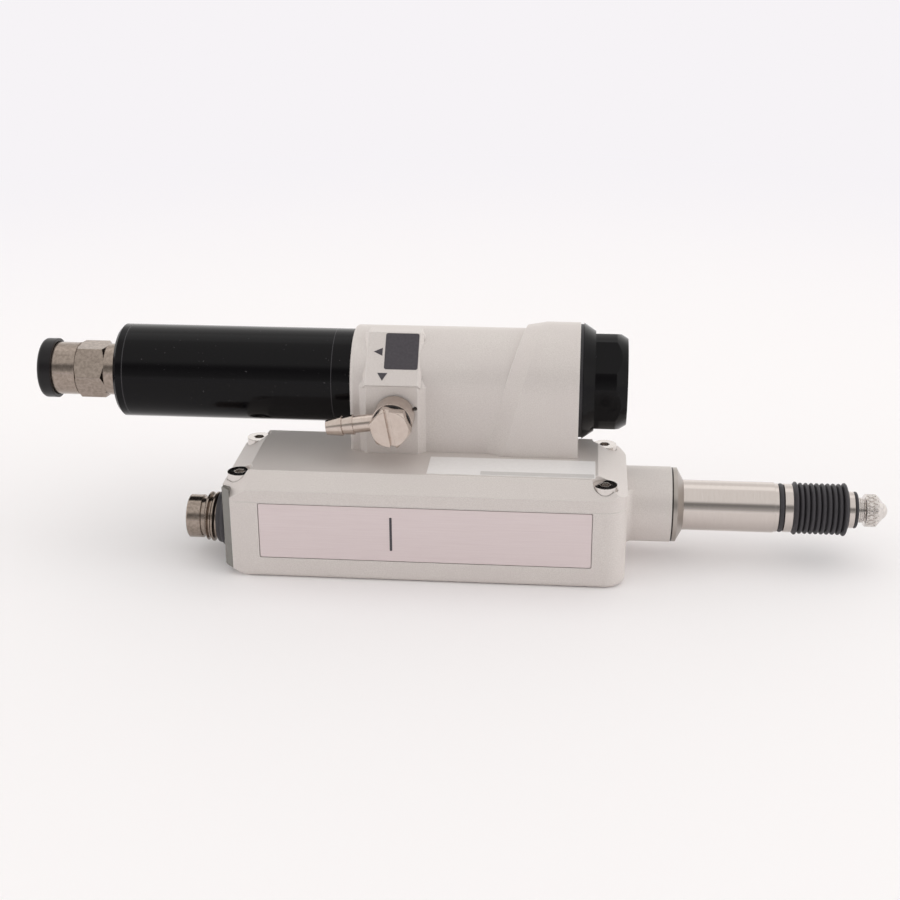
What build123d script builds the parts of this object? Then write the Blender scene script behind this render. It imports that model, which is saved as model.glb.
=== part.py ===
from build123d import *
import os
from math import cos, radians, sin, tan

# Contact displacement sensor with an air unit on its cover, in millimetres.
# The origin is on the spindle axis, where the plain stem leaves its nose. +X points to the contact
# tip, +Z is up, and the front face with the nameplate looks to -Y.

# Sensor block
block_length = 60.9
block_depth = 22.0
block_height = 17.1
axis_from_front = 13.9
axis_from_floor = 8.55
nose_length = 9.0
corner_radius = 3.3
floor_radius = 1.0
side_wall = 1.6
left_wall = 4.0
right_wall = 6.0
floor_wall = 1.5
foot_chamfer_length = 2.3
foot_chamfer_height = 1.4

# Cover with sloped rims
cover_height = 4.43
roof_wall = 1.95
rim_drop = 2.44
rim_side_run = 2.44
rim_right_run = 4.6
rim_left_run = 4.09
overhang = 1.45
corner_facet_run = 2.5
corner_facet_drop = 1.4

# Cover screws and the gasket in the parting plane
screw_from_left = 1.05
screw_from_right = 3.5
left_screw_from_side = 3.6
right_screw_from_side = 2.6
screw_head_radius = 1.9
screw_head_height = 2.0
screw_socket_width = 1.5
screw_socket_depth = 1.0
screw_core_radius = 0.8
screw_reach = 4.2
screw_seat_height = 1.68
pocket_gap = 0.06
screw_end_gap = 0.4
gasket_width = 0.6
gasket_height = 0.5
gasket_from_side = 0.9
gasket_from_wall = 0.6

# Nameplate, cover label and light window
plate_from_left = 4.3
plate_length = 51.4
plate_from_floor = 3.4
plate_height = 9.15
plate_thickness = 0.35
plate_recess = 0.4
plate_gap = 0.12
plate_corner_radius = 0.25
label_from_left = 30.2
label_length = 25.7
label_from_front = 2.9
label_depth = 6.9
label_thickness = 0.08
window_thickness = 1.5
window_height = 13.2
window_edge_radius = 0.4

# Round M8 connector
connector_from_front = 7.5
connector_from_floor = 6.75
connector_gasket_radius = 4.55
connector_gasket_length = 1.9
connector_thread_radius = 3.95
connector_thread_length = 1.9
connector_groove_radius = 3.15
connector_groove_length = 0.64
connector_collar_radius = 3.44
connector_collar_length = 2.33
connector_shank_radius = 3.3
connector_bore_radius = 2.75
connector_recess = 4.0
connector_tail = 1.8
connector_nut_radius = 4.5
connector_nut_length = 1.3
pin_radius = 0.5
pin_circle_radius = 1.5
pin_recess = 1.0
pin_count = 4

# Nose, stem and spindle guide
collar_radius = 6.0
collar_length = 7.1
collar_flare = 1.0
nose_ring_radius = 5.9
nose_ring_rim = 0.87
stem_radius = 4.0
stem_bore_radius = 3.1
stem_length = 14.25
stem_root = 7.0
stem_root_radius = 3.7
bush_back = 3.5
bush_end_gap = 0.75
spindle_radius = 2.0
running_gap = 0.02

# Bellows and the turned rings at its ends
seat_flange_radius = 3.84
seat_flange_length = 0.6
seat_groove_length = 0.95
seat_groove_depth = 0.9
seat_rim_length = 1.25
seat_spigot_length = 2.0
seat_nose_radius = 2.9
seat_nose_length = 0.6
bellows_bore_gap = 0.35
bellows_length = 8.72
bellows_bead_radius = 4.2
bellows_bead_inset = 0.53
bellows_start_radius = 3.85
bellows_end_radius = 3.05
bellows_tip_radius = 4.03
bellows_root_radius = 3.2
bellows_ridges = 8
bellows_tip_width = 0.26
bellows_tip_crown = 0.06
bellows_wall = 0.35
bellows_tip_wall = 0.45
cap_radius = 2.88
cap_length = 0.9
cap_groove_length = 0.6
cap_groove_depth = 0.6
cap_spigot_radius = 2.5
cap_spigot_length = 0.9

# Contact tip
stud_radius = 1.0
tip_neck_radius = 2.0
tip_neck_length = 0.95
tip_gap_radius = 1.7
tip_gap_length = 0.2
tip_head_radius = 2.58
tip_head_length = 1.8
tip_cone_length = 1.0
tip_end_radius = 1.42
tip_bore_depth = 1.6
ball_radius = 1.5
ball_stand_out = 0.85

# Air cylinder, piston and return spring
travel = 10.0
cylinder_radius = 4.3
cylinder_bore_radius = 3.3
gland_length = 2.8
gland_seal_length = 1.0
gland_seal_radius = 2.2
rod_radius = 1.25
piston_radius = 3.25
piston_length = 3.5
piston_boss_radius = 2.3
piston_boss_length = 1.4
piston_groove_length = 0.8
piston_groove_depth = 0.6
stroke_clearance = 0.5
spring_wire_radius = 0.2
spring_mean_radius = 2.6
spring_turns = 7
saddle_thickness = 1.2
saddle_wall = 0.9

# Section of every spring's wire: flats that stand for its round
wire_sides = 6

# Scale and reading head
holder_length = 4.0
holder_depth = 4.4
holder_height = 5.6
holder_gap = 0.4
scale_length = 16.0
scale_height = 4.6
scale_thickness = 0.8
scale_grip = 1.5
board_thickness = 0.8
board_height = 10.4
board_end_gap = 0.9
sensor_length = 3.6
sensor_height = 3.4
lens_radius = 1.4
lens_length = 1.0
reading_gap = 0.6
post_radius = 1.6
post_screw_radius = 0.6
post_screw_head_radius = 1.1
post_screw_head_height = 0.8
post_screw_length = 3.6
post_inset = 4.2

# Arch-shaped air housing
air_axis_y = 6.2
air_axis_height = 9.73
housing_left = -52.7
housing_right = -16.8
small_radius = 8.2
large_radius = 9.3
shoulder_x = -31.14
shoulder_lean = 14.5
shoulder_sweep = 6.9
shoulder_ramp = 2.7
housing_edge_radius = 0.6
boss_left = -51.1
boss_right = -40.7
boss_crease_height = 11.1
boss_panel_angle = 50.0
boss_panel_run = 5.9
vent_radius = 0.35
vent_from_bolt_x = 3.17
vent_from_floor = 7.59
vent_depth = 1.5
left_bore_radius = 6.3
left_bore_length = 4.5
channel_radius = 1.6
housing_screw_y = 1.8
housing_screw_left = -46.5
housing_screw_right = -24.6
housing_screw_depth = 3.6
housing_screw_head_height = 1.6
transfer_radius = 1.0
transfer_bore_radius = 0.5
transfer_reach = 1.5
feed_drop = 2.0
feed_from_diaphragm = 1.4

# Filter tube and push-in fitting
tube_radius = 7.5
tube_bore_radius = 5.8
tube_spigot_bore_radius = 5.0
tube_step_wall = 1.0
tube_length = 36.56
tube_cap_rim = 1.64
tube_cap_spigot = 2.8
tube_cap_chamfer = 0.5
tube_groove_radius = 5.7
tube_groove_length = 1.0
filter_radius = 4.4
filter_bore_radius = 2.4
filter_length = 29.0
filter_nipple_radius = 2.35
filter_nipple_length = 2.0
fitting_thread_radius = 3.0
fitting_thread_length = 2.5
fitting_neck_radius = 4.17
fitting_neck_length = 2.48
fitting_hex_width = 8.2
fitting_hex_length = 4.79
fitting_hex_turn = 0.0
fitting_hex_bevel = 0.4
fitting_barrel_radius = 4.27
fitting_barrel_length = 4.1
fitting_bore_radius = 1.25
hose_bore_radius = 2.05
hose_bore_length = 2.7
fitting_socket_radius = 3.3
seal_length = 1.4
seal_grip_radius = 1.85
collet_length = 1.0
collet_mouth_radius = 2.35
collet_tooth_radius = 1.9
inner_gap = 0.1
release_radius = 4.84
release_length = 2.3
release_bore_radius = 2.25
release_bore_chamfer = 0.3
release_cup_depth = 1.3
release_sleeve_reach = 2.5
release_travel = 0.8
release_edge_radius = 0.7

# Spring bonnet and regulator
gasket_gap = 0.5
gasket_inset = 0.25
bonnet_base_radius = 9.26
bonnet_radius = 8.0
bonnet_cone_length = 1.9
bonnet_length = 7.0
bonnet_chamfer_length = 1.8
bonnet_end_radius = 6.9
bonnet_flat_width = 15.0
bonnet_flat_angle = 12.0
bonnet_thread_radius = 6.6
bonnet_thread_length = 3.2
bonnet_bore_radius = 5.2
bonnet_end_wall = 1.7
diaphragm_thickness = 0.6
diaphragm_plate_radius = 3.6
diaphragm_plate_thickness = 0.8
regulated_radius = 5.4
regulated_length = 2.8
valve_chamber_radius = 3.2
valve_chamber_length = 10.6
valve_seat_from_chamber = 2.1
valve_seat_length = 1.5
valve_orifice_radius = 1.3
valve_stem_radius = 0.7
poppet_radius = 2.75
poppet_length = 2.0
valve_wire_radius = 0.17
valve_spring_radius = 2.38
valve_spring_turns = 3
regulating_wire_radius = 0.45
regulating_spring_radius = 3.0
regulating_spring_turns = 4

# Banjo fitting at the front of the air housing
bolt_x = -45.4
bolt_height = 6.6
bolt_radius = 1.5
port_bore_radius = 1.1
bolt_depth = 6.0
bolt_head_width = 5.7
bolt_head_length = 2.0
bolt_head_turn = -9.0
bolt_slot_width = 0.8
bolt_slot_depth = 0.9
bolt_slot_turn = 10.0
banjo_radius = 3.2
banjo_length = 4.0
banjo_bore_radius = 1.9
banjo_gasket_thickness = 0.4
banjo_gasket_radius = 3.0
barb_reach = 10.5
barb_drop_angle = 8.4
barb_offset = 0.15
barb_neck_radius = 1.35
barb_radius = 1.6
barb_tip_radius = 1.15
barb_tip_length = 2.55
barb_second_length = 1.8
barb_bore_radius = 0.7

# How far a cutting shape runs past what it cuts, and how near an edge counts as on a plane
over = 1.0
near = 0.1

# Planes and centres that several pieces share
case_right = -nose_length
case_left = case_right - block_length
front = -axis_from_front
rear = front + block_depth
floor = -axis_from_floor
plateau = floor + block_height
parting = plateau - cover_height
hollow_left = case_left + left_wall
hollow_right = case_right - right_wall
window_left = case_left - window_thickness
window_floor = floor + foot_chamfer_height
window_top = window_floor + window_height
plateau_rear = rear - rim_side_run
connector_y = front + connector_from_front
connector_z = floor + connector_from_floor
gasket_face = window_left - connector_gasket_length
connector_thread_end = gasket_face - connector_thread_length
connector_groove_end = connector_thread_end - connector_groove_length
connector_mouth = connector_groove_end - connector_collar_length
connector_tail_end = hollow_left + connector_tail
nose_face = case_right + collar_length
air_axis_z = plateau + air_axis_height
bolt_z = plateau + bolt_height
boss_face = air_axis_y - large_radius
tube_left = housing_left - tube_length
cap_face = tube_left - tube_cap_rim
hex_right = cap_face - fitting_neck_length
hex_left = hex_right - fitting_hex_length
barrel_end = hex_left - fitting_barrel_length
socket_end = hex_left + seal_length / 2
hose_stop = socket_end + hose_bore_length
hex_corner = fitting_hex_width / 2 / cos(radians(30))
bonnet_left = housing_right + gasket_gap
diaphragm_right = bonnet_left - bonnet_thread_length
diaphragm_left = diaphragm_right - diaphragm_thickness
regulated_left = diaphragm_left - regulated_length
valve_chamber_left = regulated_left - valve_chamber_length
valve_seat_right = regulated_left - valve_seat_from_chamber
valve_seat_left = valve_seat_right - valve_seat_length
bush_right = stem_length - seat_spigot_length - bush_end_gap
seat_end = stem_length + seat_flange_length + seat_groove_length + seat_rim_length
cap_start = seat_end + bellows_length
spindle_end = cap_start - cap_spigot_length
tip_start = cap_start + cap_length + cap_groove_length
tip_end = tip_start + tip_neck_length + tip_gap_length + tip_head_length + tip_cone_length
ball_centre = tip_end + ball_stand_out - ball_radius
piston_stop = hollow_right - stroke_clearance
piston_right = piston_stop - travel
piston_left = piston_right - piston_length
gland_left = piston_left - gland_length
holder_right = gland_left - travel - holder_gap
holder_left = holder_right - holder_length
scale_right = holder_left + scale_grip
head_right = holder_left - reading_gap
head_left = head_right - sensor_length
board_rear = -cylinder_radius - saddle_wall
board_front = board_rear - board_thickness
transfer_x = piston_left + piston_boss_length / 2
post_z = floor + floor_wall + post_radius + saddle_wall / 2
elbow_rear = boss_face - banjo_gasket_thickness
elbow_front = elbow_rear - banjo_length
elbow_middle = (elbow_rear + elbow_front) / 2
bolt_seat = elbow_front - banjo_gasket_thickness


def block(x0, x1, y0, y1, z0, z1):
    """Rectangular solid between six planes."""
    centre = Pos((x0 + x1) / 2, (y0 + y1) / 2, (z0 + z1) / 2)
    return centre * Box(x1 - x0, y1 - y0, z1 - z0)


def turned(points, y=0.0, z=0.0):
    """Solid turned about a line along X, from an outline of (x, radius) points."""
    outline = make_face(Polyline(*points, close=True))
    return Pos(0, y, z) * revolve(outline, Axis.X)


def rod(x0, x1, radius, y=0.0, z=0.0):
    """Round bar along X."""
    return Pos(x0, y, z) * extrude(Plane.YZ * Circle(radius), x1 - x0)


def ring(x0, x1, outer, inner, y=0.0, z=0.0):
    """Tube along X."""
    return Pos(x0, y, z) * extrude(Plane.YZ * (Circle(outer) - Circle(inner)), x1 - x0)


def post(x, y, z0, z1, radius):
    """Round bar along Z."""
    return Pos(x, y, z0) * extrude(Circle(radius), z1 - z0)


def hexagon_bar(x0, x1, width, turn, y, z):
    """Six-sided bar along X, turned about its axis."""
    outline = Rot(0, 0, turn) * RegularPolygon(width / 2, 6, major_radius=False)
    return Pos(x0, y, z) * extrude(Plane.YZ * outline, x1 - x0)


def coil(x0, x1, mean_radius, wire_radius, turns, y=0.0, z=0.0):
    """Spring along X whose wire just reaches both end planes."""
    height = x1 - x0 - 2 * wire_radius
    path = Helix(height / turns, height, mean_radius)
    section = Plane(origin=path @ 0, z_dir=path % 0) * RegularPolygon(wire_radius, wire_sides)
    wire = sweep(section, path, is_frenet=True)
    return Pos(x0 + wire_radius, y, z) * Rot(0, 90, 0) * wire


def at_screws(shape):
    """Copies of a shape at the four cover screws."""
    places = []
    left_pair = (case_left + screw_from_left, left_screw_from_side)
    right_pair = (case_right - screw_from_right, right_screw_from_side)
    for x, from_side in (left_pair, right_pair):
        for y in (front + from_side, rear - from_side):
            places.append(Pos(x, y, 0) * shape)
    return places


def gasket_loop(z0, z1):
    """Rectangular loop that runs round the hollow in the parting plane."""
    x0 = hollow_left - gasket_from_wall
    x1 = hollow_right + gasket_from_wall
    y0 = front + gasket_from_side
    y1 = rear - gasket_from_side
    half = gasket_width / 2
    outer = block(x0 - half, x1 + half, y0 - half, y1 + half, z0, z1)
    return outer - block(x0 + half, x1 - half, y0 + half, y1 - half, z0 - over, z1 + over)


def block_plan(x0):
    """Plan outline of the block from x0 to its right end, with rounded right corners."""
    outline = Pos((x0 + case_right) / 2, (front + rear) / 2) * Rectangle(case_right - x0, block_depth)
    return fillet(outline.vertices().group_by(Axis.X)[-1], corner_radius)


def board_posts(radius, y0, y1):
    """Round bars along Y at the two fixing points of the circuit board."""
    bars = []
    for x in (hollow_left + post_inset, hollow_right - post_inset):
        bars.append(Pos(x, y0, post_z) * extrude(Plane.ZX * Circle(radius), y1 - y0))
    return bars


def saddle(x0):
    """Rib on the case floor, hollowed for the air cylinder."""
    half = cylinder_radius + saddle_wall
    rib = block(x0, x0 + saddle_thickness, -half, half, floor + floor_wall / 2, 0)
    return rib - rod(x0 - over, x0 + saddle_thickness + over, cylinder_radius)


def nose_collar():
    """Round nose of the case, with a hollow fillet where it leaves the end face."""
    corner = (case_right, collar_radius + collar_flare)
    foot = (case_right + collar_flare, collar_radius)
    legs = Polyline(corner, (case_right, collar_radius - collar_flare), foot)
    flare = make_face([*legs.edges(), RadiusArc(foot, corner, collar_flare)])
    below_cover = block(case_right - over, nose_face, front, rear, floor, parting)
    return rod(case_right, nose_face, collar_radius) + (revolve(flare, Axis.X) & below_cover)


def nameplate_outline(margin):
    """Outline of the nameplate in the front face, shrunk by a margin."""
    plate = RectangleRounded(plate_length - 2 * margin, plate_height - 2 * margin, plate_corner_radius)
    x = case_left + plate_from_left + plate_length / 2
    z = floor + plate_from_floor + plate_height / 2
    return Plane(origin=(x, front, z), x_dir=(1, 0, 0), z_dir=(0, -1, 0)) * plate


def case():
    """Die-cast tray with the nose, saddles, board posts and nameplate recess."""
    body = extrude(Pos(0, 0, floor) * block_plan(case_left), parting - floor)
    body = fillet(body.edges().group_by(Axis.Z)[0], floor_radius)
    foot = Polyline(
        (case_left, floor),
        (case_left + foot_chamfer_length, floor),
        (case_left, floor + foot_chamfer_height),
        close=True,
    )
    body -= Pos(0, front, 0) * extrude(Plane.XZ * make_face(foot), -block_depth)
    body += nose_collar()
    inner_floor = floor + floor_wall
    body -= block(hollow_left, hollow_right, front + side_wall, rear - side_wall, inner_floor, parting)
    body += saddle(gland_left)
    body += saddle(hollow_right - 2 * saddle_thickness)
    body += board_posts(post_radius, front + side_wall / 2, board_front)
    body -= board_posts(post_screw_radius, board_front - post_screw_length + board_thickness, board_front)
    body -= rod(hollow_right, -stem_root, stem_bore_radius)
    body -= rod(-stem_root, nose_face, stem_root_radius)
    body -= rod(case_left, hollow_left, connector_shank_radius, connector_y, connector_z)
    body -= at_screws(post(0, 0, parting - screw_reach, parting, screw_core_radius))
    body -= gasket_loop(parting - gasket_height, parting)
    body -= extrude(nameplate_outline(0), -plate_recess)
    return body


def slope_prism(y_from, y_to):
    """Side view of the cover: flat top with a long slope at each end."""
    left = case_left - overhang
    outline = Polyline(
        (left, parting),
        (case_right, parting),
        (case_right, plateau - rim_drop),
        (case_right - rim_right_run, plateau),
        (left + rim_left_run, plateau),
        (left, plateau - rim_drop),
        close=True,
    )
    return Pos(0, y_from, 0) * extrude(Plane.XZ * make_face(outline), y_from - y_to)


def rim_prism():
    """End view of the cover: flat top with a bevel along the front and the rear."""
    outline = Polyline(
        (front, parting),
        (rear, parting),
        (rear, plateau - rim_drop),
        (rear - rim_side_run, plateau),
        (front + rim_side_run, plateau),
        (front, plateau - rim_drop),
        close=True,
    )
    x0 = case_left - overhang
    return Pos(x0, 0, 0) * extrude(Plane.YZ * make_face(outline), case_right - x0)


def corner_facet(side):
    """Wedge taken off a left corner, where the bevel runs down to the light window."""
    rim = plateau - rim_drop
    reach = corner_facet_run + overhang + over
    drop = reach * corner_facet_drop / corner_facet_run
    edge = front if side < 0 else rear
    facet = Plane(
        origin=(case_left + corner_facet_run, edge, rim),
        x_dir=(-reach, 0, -drop),
        z_dir=Vector(-drop, side * reach, reach),
    )
    return facet * (Pos(0, 0, block_height / 2) * Box(2 * reach, 3 * rim_side_run, block_height))


def cover():
    """Die-cast lid with sloped rims, screw pockets and the seat of the air housing."""
    left = case_left - overhang
    body = extrude(Pos(0, 0, parting) * block_plan(left), cover_height)
    body &= slope_prism(front, rear)
    body &= rim_prism()
    body -= corner_facet(-1)
    body -= corner_facet(1)
    body -= block(left - over, case_left, front - over, rear + over, parting - over, window_top)
    body -= window_corners(left, parting, plateau)
    ceiling = plateau - roof_wall
    body -= block(hollow_left, hollow_right, front + side_wall, rear - side_wall, parting, ceiling)
    seat = parting + screw_seat_height
    body -= at_screws(post(0, 0, seat, plateau, screw_head_radius + pocket_gap))
    body -= at_screws(post(0, 0, parting, seat, screw_core_radius + pocket_gap))
    for x in (housing_screw_left, housing_screw_right):
        body -= post(x, housing_screw_y, ceiling, plateau, screw_core_radius + pocket_gap)
    body -= post(transfer_x, 0, ceiling, plateau, transfer_radius)
    return body


def window_corners(x0, z0, z1):
    """Two upright wedges that bevel the left corners at 45 degrees."""
    wedges = []
    for edge, side in ((front, 1), (rear, -1)):
        outline = Polyline(
            (case_left, edge),
            (x0 - over, edge),
            (x0 - over, edge + side * (case_left - x0 + over)),
            close=True,
        )
        wedges.append(extrude(Pos(0, 0, z0) * make_face(outline), z1 - z0))
    return wedges


def cover_gasket():
    """Cord seal in the groove of the parting plane."""
    return gasket_loop(parting - gasket_height, parting)


def socket_screw(z_top, head_height, shank_length):
    """Socket head screw, head up, on the Z axis."""
    z_seat = z_top - head_height
    screw = post(0, 0, z_seat, z_top, screw_head_radius)
    screw += post(0, 0, z_seat - shank_length, z_seat, screw_core_radius)
    socket = RegularPolygon(screw_socket_width / 2, 6, major_radius=False)
    return screw - Pos(0, 0, z_top) * extrude(socket, -screw_socket_depth)


def cover_screws():
    """Four socket head screws that hold the cover."""
    z_top = parting + screw_seat_height + screw_head_height
    screw = socket_screw(z_top, screw_head_height, screw_seat_height + screw_reach - screw_end_gap)
    return Compound(children=at_screws(screw))


def nameplate():
    """Thin metal plate let into the front face."""
    plate = extrude(nameplate_outline(plate_gap), plate_thickness)
    return Pos(0, plate_recess, 0) * plate


def cover_label():
    """Thin label on the plateau, in front of the air housing."""
    x0 = case_left + label_from_left
    y0 = front + label_from_front
    return block(x0, x0 + label_length, y0, y0 + label_depth, plateau, plateau + label_thickness)


def indicator_window():
    """Smoky light window that closes the left end."""
    body = block(window_left, case_left, front, rear, window_floor, window_top)
    body -= window_corners(window_left, window_floor, window_top)
    outer_edges = body.faces().sort_by(Axis.X)[0].edges()
    body = fillet(outer_edges, window_edge_radius)
    seat = parting + screw_seat_height
    body -= at_screws(post(0, 0, seat, plateau, screw_head_radius + pocket_gap))
    return body - rod(window_left, case_left, connector_shank_radius, connector_y, connector_z)


def connector_shell():
    """Turned shell of the round connector, from its open end to the nut inside the case."""
    outline = [
        (connector_mouth, connector_bore_radius),
        (connector_mouth, connector_collar_radius),
        (connector_groove_end, connector_collar_radius),
        (connector_groove_end, connector_groove_radius),
        (connector_thread_end, connector_groove_radius),
        (connector_thread_end, connector_thread_radius),
        (gasket_face, connector_thread_radius),
        (gasket_face, connector_shank_radius),
        (connector_tail_end, connector_shank_radius),
        (connector_tail_end, connector_bore_radius),
    ]
    return turned(outline, connector_y, connector_z)


def connector_gasket():
    """Flat ring between the shell's thread and the light window."""
    bore = connector_shank_radius
    return ring(gasket_face, window_left, connector_gasket_radius, bore, connector_y, connector_z)


def connector_nut():
    """Hexagon nut that pulls the shell against the left wall from inside."""
    x1 = hollow_left + connector_nut_length
    nut = hexagon_bar(hollow_left, x1, 2 * connector_nut_radius, 0, connector_y, connector_z)
    return nut - rod(hollow_left, x1, connector_shank_radius, connector_y, connector_z)


def pin_places():
    """Centres of the contact pins."""
    centre = Pos(0, connector_y, connector_z)
    arm = Pos(0, pin_circle_radius, 0)
    return [centre * Rot(360 * i / pin_count + 45, 0, 0) * arm for i in range(pin_count)]


def connector_insert():
    """Insulator that fills the shell behind its recess."""
    x0 = connector_mouth + connector_recess
    body = rod(x0, connector_tail_end, connector_bore_radius, connector_y, connector_z)
    return body - [place * rod(x0, connector_tail_end, pin_radius) for place in pin_places()]


def connector_pins():
    """Contact pins, from the recess to their solder ends."""
    x0 = connector_mouth + pin_recess
    return Compound(children=[place * rod(x0, connector_tail_end, pin_radius) for place in pin_places()])


def nose_ring():
    """Disc with a cone that closes the nose, held by the stem's shoulder."""
    rim_end = nose_face + nose_ring_rim
    outline = [
        (nose_face, stem_root_radius),
        (nose_face, nose_ring_radius),
        (rim_end, nose_ring_radius),
        (0, stem_radius + running_gap),
        (0, stem_root_radius),
    ]
    return turned(outline)


def stem():
    """Plain ground sleeve with a thinner root, pressed into the nose up to its shoulder."""
    outline = [
        (-stem_root, stem_bore_radius),
        (-stem_root, stem_root_radius),
        (0, stem_root_radius),
        (0, stem_radius),
        (stem_length, stem_radius),
        (stem_length, stem_bore_radius),
    ]
    return turned(outline)


def guide_bush():
    """Long bush that guides the spindle in the stem and seats the return spring."""
    return ring(-bush_back, bush_right, stem_bore_radius, spindle_radius + running_gap)


def bellows_seat():
    """Turned ring at the stem's end, with a groove for its seal and a nose for the bellows."""
    flange_end = stem_length + seat_flange_length
    groove_end = flange_end + seat_groove_length
    bore = spindle_radius + bellows_bore_gap
    outline = [
        (stem_length - seat_spigot_length, bore),
        (stem_length - seat_spigot_length, stem_bore_radius),
        (stem_length, stem_bore_radius),
        (stem_length, seat_flange_radius),
        (flange_end, seat_flange_radius),
        (flange_end, seat_flange_radius - seat_groove_depth),
        (groove_end, seat_flange_radius - seat_groove_depth),
        (groove_end, seat_flange_radius),
        (seat_end, seat_flange_radius),
        (seat_end, seat_nose_radius),
        (seat_end + seat_nose_length, seat_nose_radius),
        (seat_end + seat_nose_length, bore),
    ]
    return turned(outline)


def seat_oring():
    """Seal ring in the groove of the bellows seat."""
    x0 = stem_length + seat_flange_length
    return ring(x0, x0 + seat_groove_length, seat_flange_radius, seat_flange_radius - seat_groove_depth)


def bellows():
    """Ribbed rubber boot between the stem and the spindle cap, with a bead at each end."""
    pitch = (bellows_length - 2 * bellows_bead_inset) / (bellows_ridges + 1)
    first = seat_end + bellows_bead_inset
    radii = [bellows_bead_radius] + [bellows_tip_radius] * bellows_ridges + [bellows_bead_radius]
    half_tip = bellows_tip_width / 2
    outline = [(seat_end, seat_nose_radius), (seat_end, bellows_start_radius)]
    for i, radius in enumerate(radii):
        x = first + i * pitch
        if i > 0:
            outline.append((x - pitch / 2, bellows_root_radius))
        outline.append((x - half_tip, radius - bellows_tip_crown))
        outline.append((x, radius))
        outline.append((x + half_tip, radius - bellows_tip_crown))
    outline.append((cap_start, bellows_end_radius))
    outline.append((cap_start, cap_spigot_radius))
    outline.append((spindle_end, cap_spigot_radius))
    for i in range(bellows_ridges, 0, -1):
        x = first + i * pitch
        outline.append((x + pitch / 2, bellows_root_radius - bellows_wall))
        outline.append((x, bellows_tip_radius - bellows_tip_wall))
    outline.append((first + pitch / 2, bellows_root_radius - bellows_wall))
    outline.append((seat_end + seat_nose_length, seat_nose_radius))
    return turned(outline)


def bellows_cap():
    """Turned ring on the spindle stud that holds the bellows' front end and a seal."""
    groove_start = cap_start + cap_length
    outline = [
        (spindle_end, stud_radius),
        (spindle_end, cap_spigot_radius),
        (cap_start, cap_spigot_radius),
        (cap_start, cap_radius),
        (groove_start, cap_radius),
        (groove_start, cap_radius - cap_groove_depth),
        (tip_start, cap_radius - cap_groove_depth),
        (tip_start, stud_radius),
    ]
    return turned(outline)


def cap_oring():
    """Seal ring behind the contact tip."""
    x0 = cap_start + cap_length
    return ring(x0, tip_start, cap_radius, cap_radius - cap_groove_depth)


def contact_tip():
    """Screwed contact tip with a round grip and a spherical seat for the ball."""
    neck_end = tip_start + tip_neck_length
    head_start = neck_end + tip_gap_length
    head_end = head_start + tip_head_length
    outline = [
        (tip_start, 0),
        (tip_start, tip_neck_radius),
        (neck_end, tip_neck_radius),
        (neck_end, tip_gap_radius),
        (head_start, tip_gap_radius),
        (head_start, tip_head_radius),
        (head_end, tip_head_radius),
        (tip_end, tip_end_radius),
        (tip_end, 0),
    ]
    body = turned(outline) - rod(tip_start, tip_start + tip_bore_depth, stud_radius)
    return body - Pos(ball_centre, 0, 0) * Sphere(ball_radius)


def contact_ball():
    """Hard ball that touches the workpiece."""
    return Pos(ball_centre, 0, 0) * Sphere(ball_radius)


def spindle():
    """Sliding measuring rod with its thin rear rod and front stud."""
    outline = [
        (holder_right - holder_length / 2, 0),
        (holder_right - holder_length / 2, rod_radius),
        (piston_right, rod_radius),
        (piston_right, spindle_radius),
        (spindle_end, spindle_radius),
        (spindle_end, stud_radius),
        (tip_start + tip_bore_depth, stud_radius),
        (tip_start + tip_bore_depth, 0),
    ]
    return turned(outline)


def piston():
    """Piston on the rear rod, with a boss that rests on the gland."""
    boss_end = piston_left + piston_boss_length
    groove_start = boss_end + (piston_right - boss_end - piston_groove_length) / 2
    groove_end = groove_start + piston_groove_length
    groove_radius = piston_radius - piston_groove_depth
    outline = [
        (piston_left, rod_radius),
        (piston_left, piston_boss_radius),
        (boss_end, piston_boss_radius),
        (boss_end, piston_radius),
        (groove_start, piston_radius),
        (groove_start, groove_radius),
        (groove_end, groove_radius),
        (groove_end, piston_radius),
        (piston_right, piston_radius),
        (piston_right, rod_radius),
    ]
    return turned(outline)


def piston_seal():
    """Seal ring in the piston's groove."""
    boss_end = piston_left + piston_boss_length
    x0 = boss_end + (piston_right - boss_end - piston_groove_length) / 2
    x1 = x0 + piston_groove_length
    return ring(x0, x1, cylinder_bore_radius - running_gap, piston_radius - piston_groove_depth)


def return_spring():
    """Spring that draws the spindle back when the air is off."""
    return coil(piston_right, -bush_back, spring_mean_radius, spring_wire_radius, spring_turns)


def air_cylinder():
    """Tube in which air drives the piston, with the hole of the transfer tube."""
    tube = ring(gland_left, hollow_right, cylinder_radius, cylinder_bore_radius)
    return tube - post(transfer_x, 0, 0, cylinder_radius + over, transfer_radius)


def cylinder_gland():
    """Plug that closes the cylinder round the rear rod."""
    pocket = gland_left + gland_seal_length
    outline = [
        (gland_left, gland_seal_radius),
        (gland_left, cylinder_bore_radius),
        (piston_left, cylinder_bore_radius),
        (piston_left, rod_radius + running_gap),
        (pocket, rod_radius + running_gap),
        (pocket, gland_seal_radius),
    ]
    return turned(outline)


def gland_seal():
    """Lip seal round the rear rod."""
    return ring(gland_left, gland_left + gland_seal_length, gland_seal_radius, rod_radius + running_gap)


def scale_holder():
    """Block on the rear rod that grips the glass scale."""
    deep = holder_depth / 2
    high = holder_height / 2
    body = block(holder_left, holder_right, -deep, deep, -high, high)
    half = scale_thickness / 2
    body -= block(holder_left, scale_right, -half, half, -scale_height / 2, scale_height / 2)
    return body - rod(holder_right - holder_length / 2, holder_right, rod_radius)


def glass_scale():
    """Glass scale that the reading head looks at."""
    half = scale_thickness / 2
    return block(scale_right - scale_length, scale_right, -half, half, -scale_height / 2, scale_height / 2)


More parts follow.
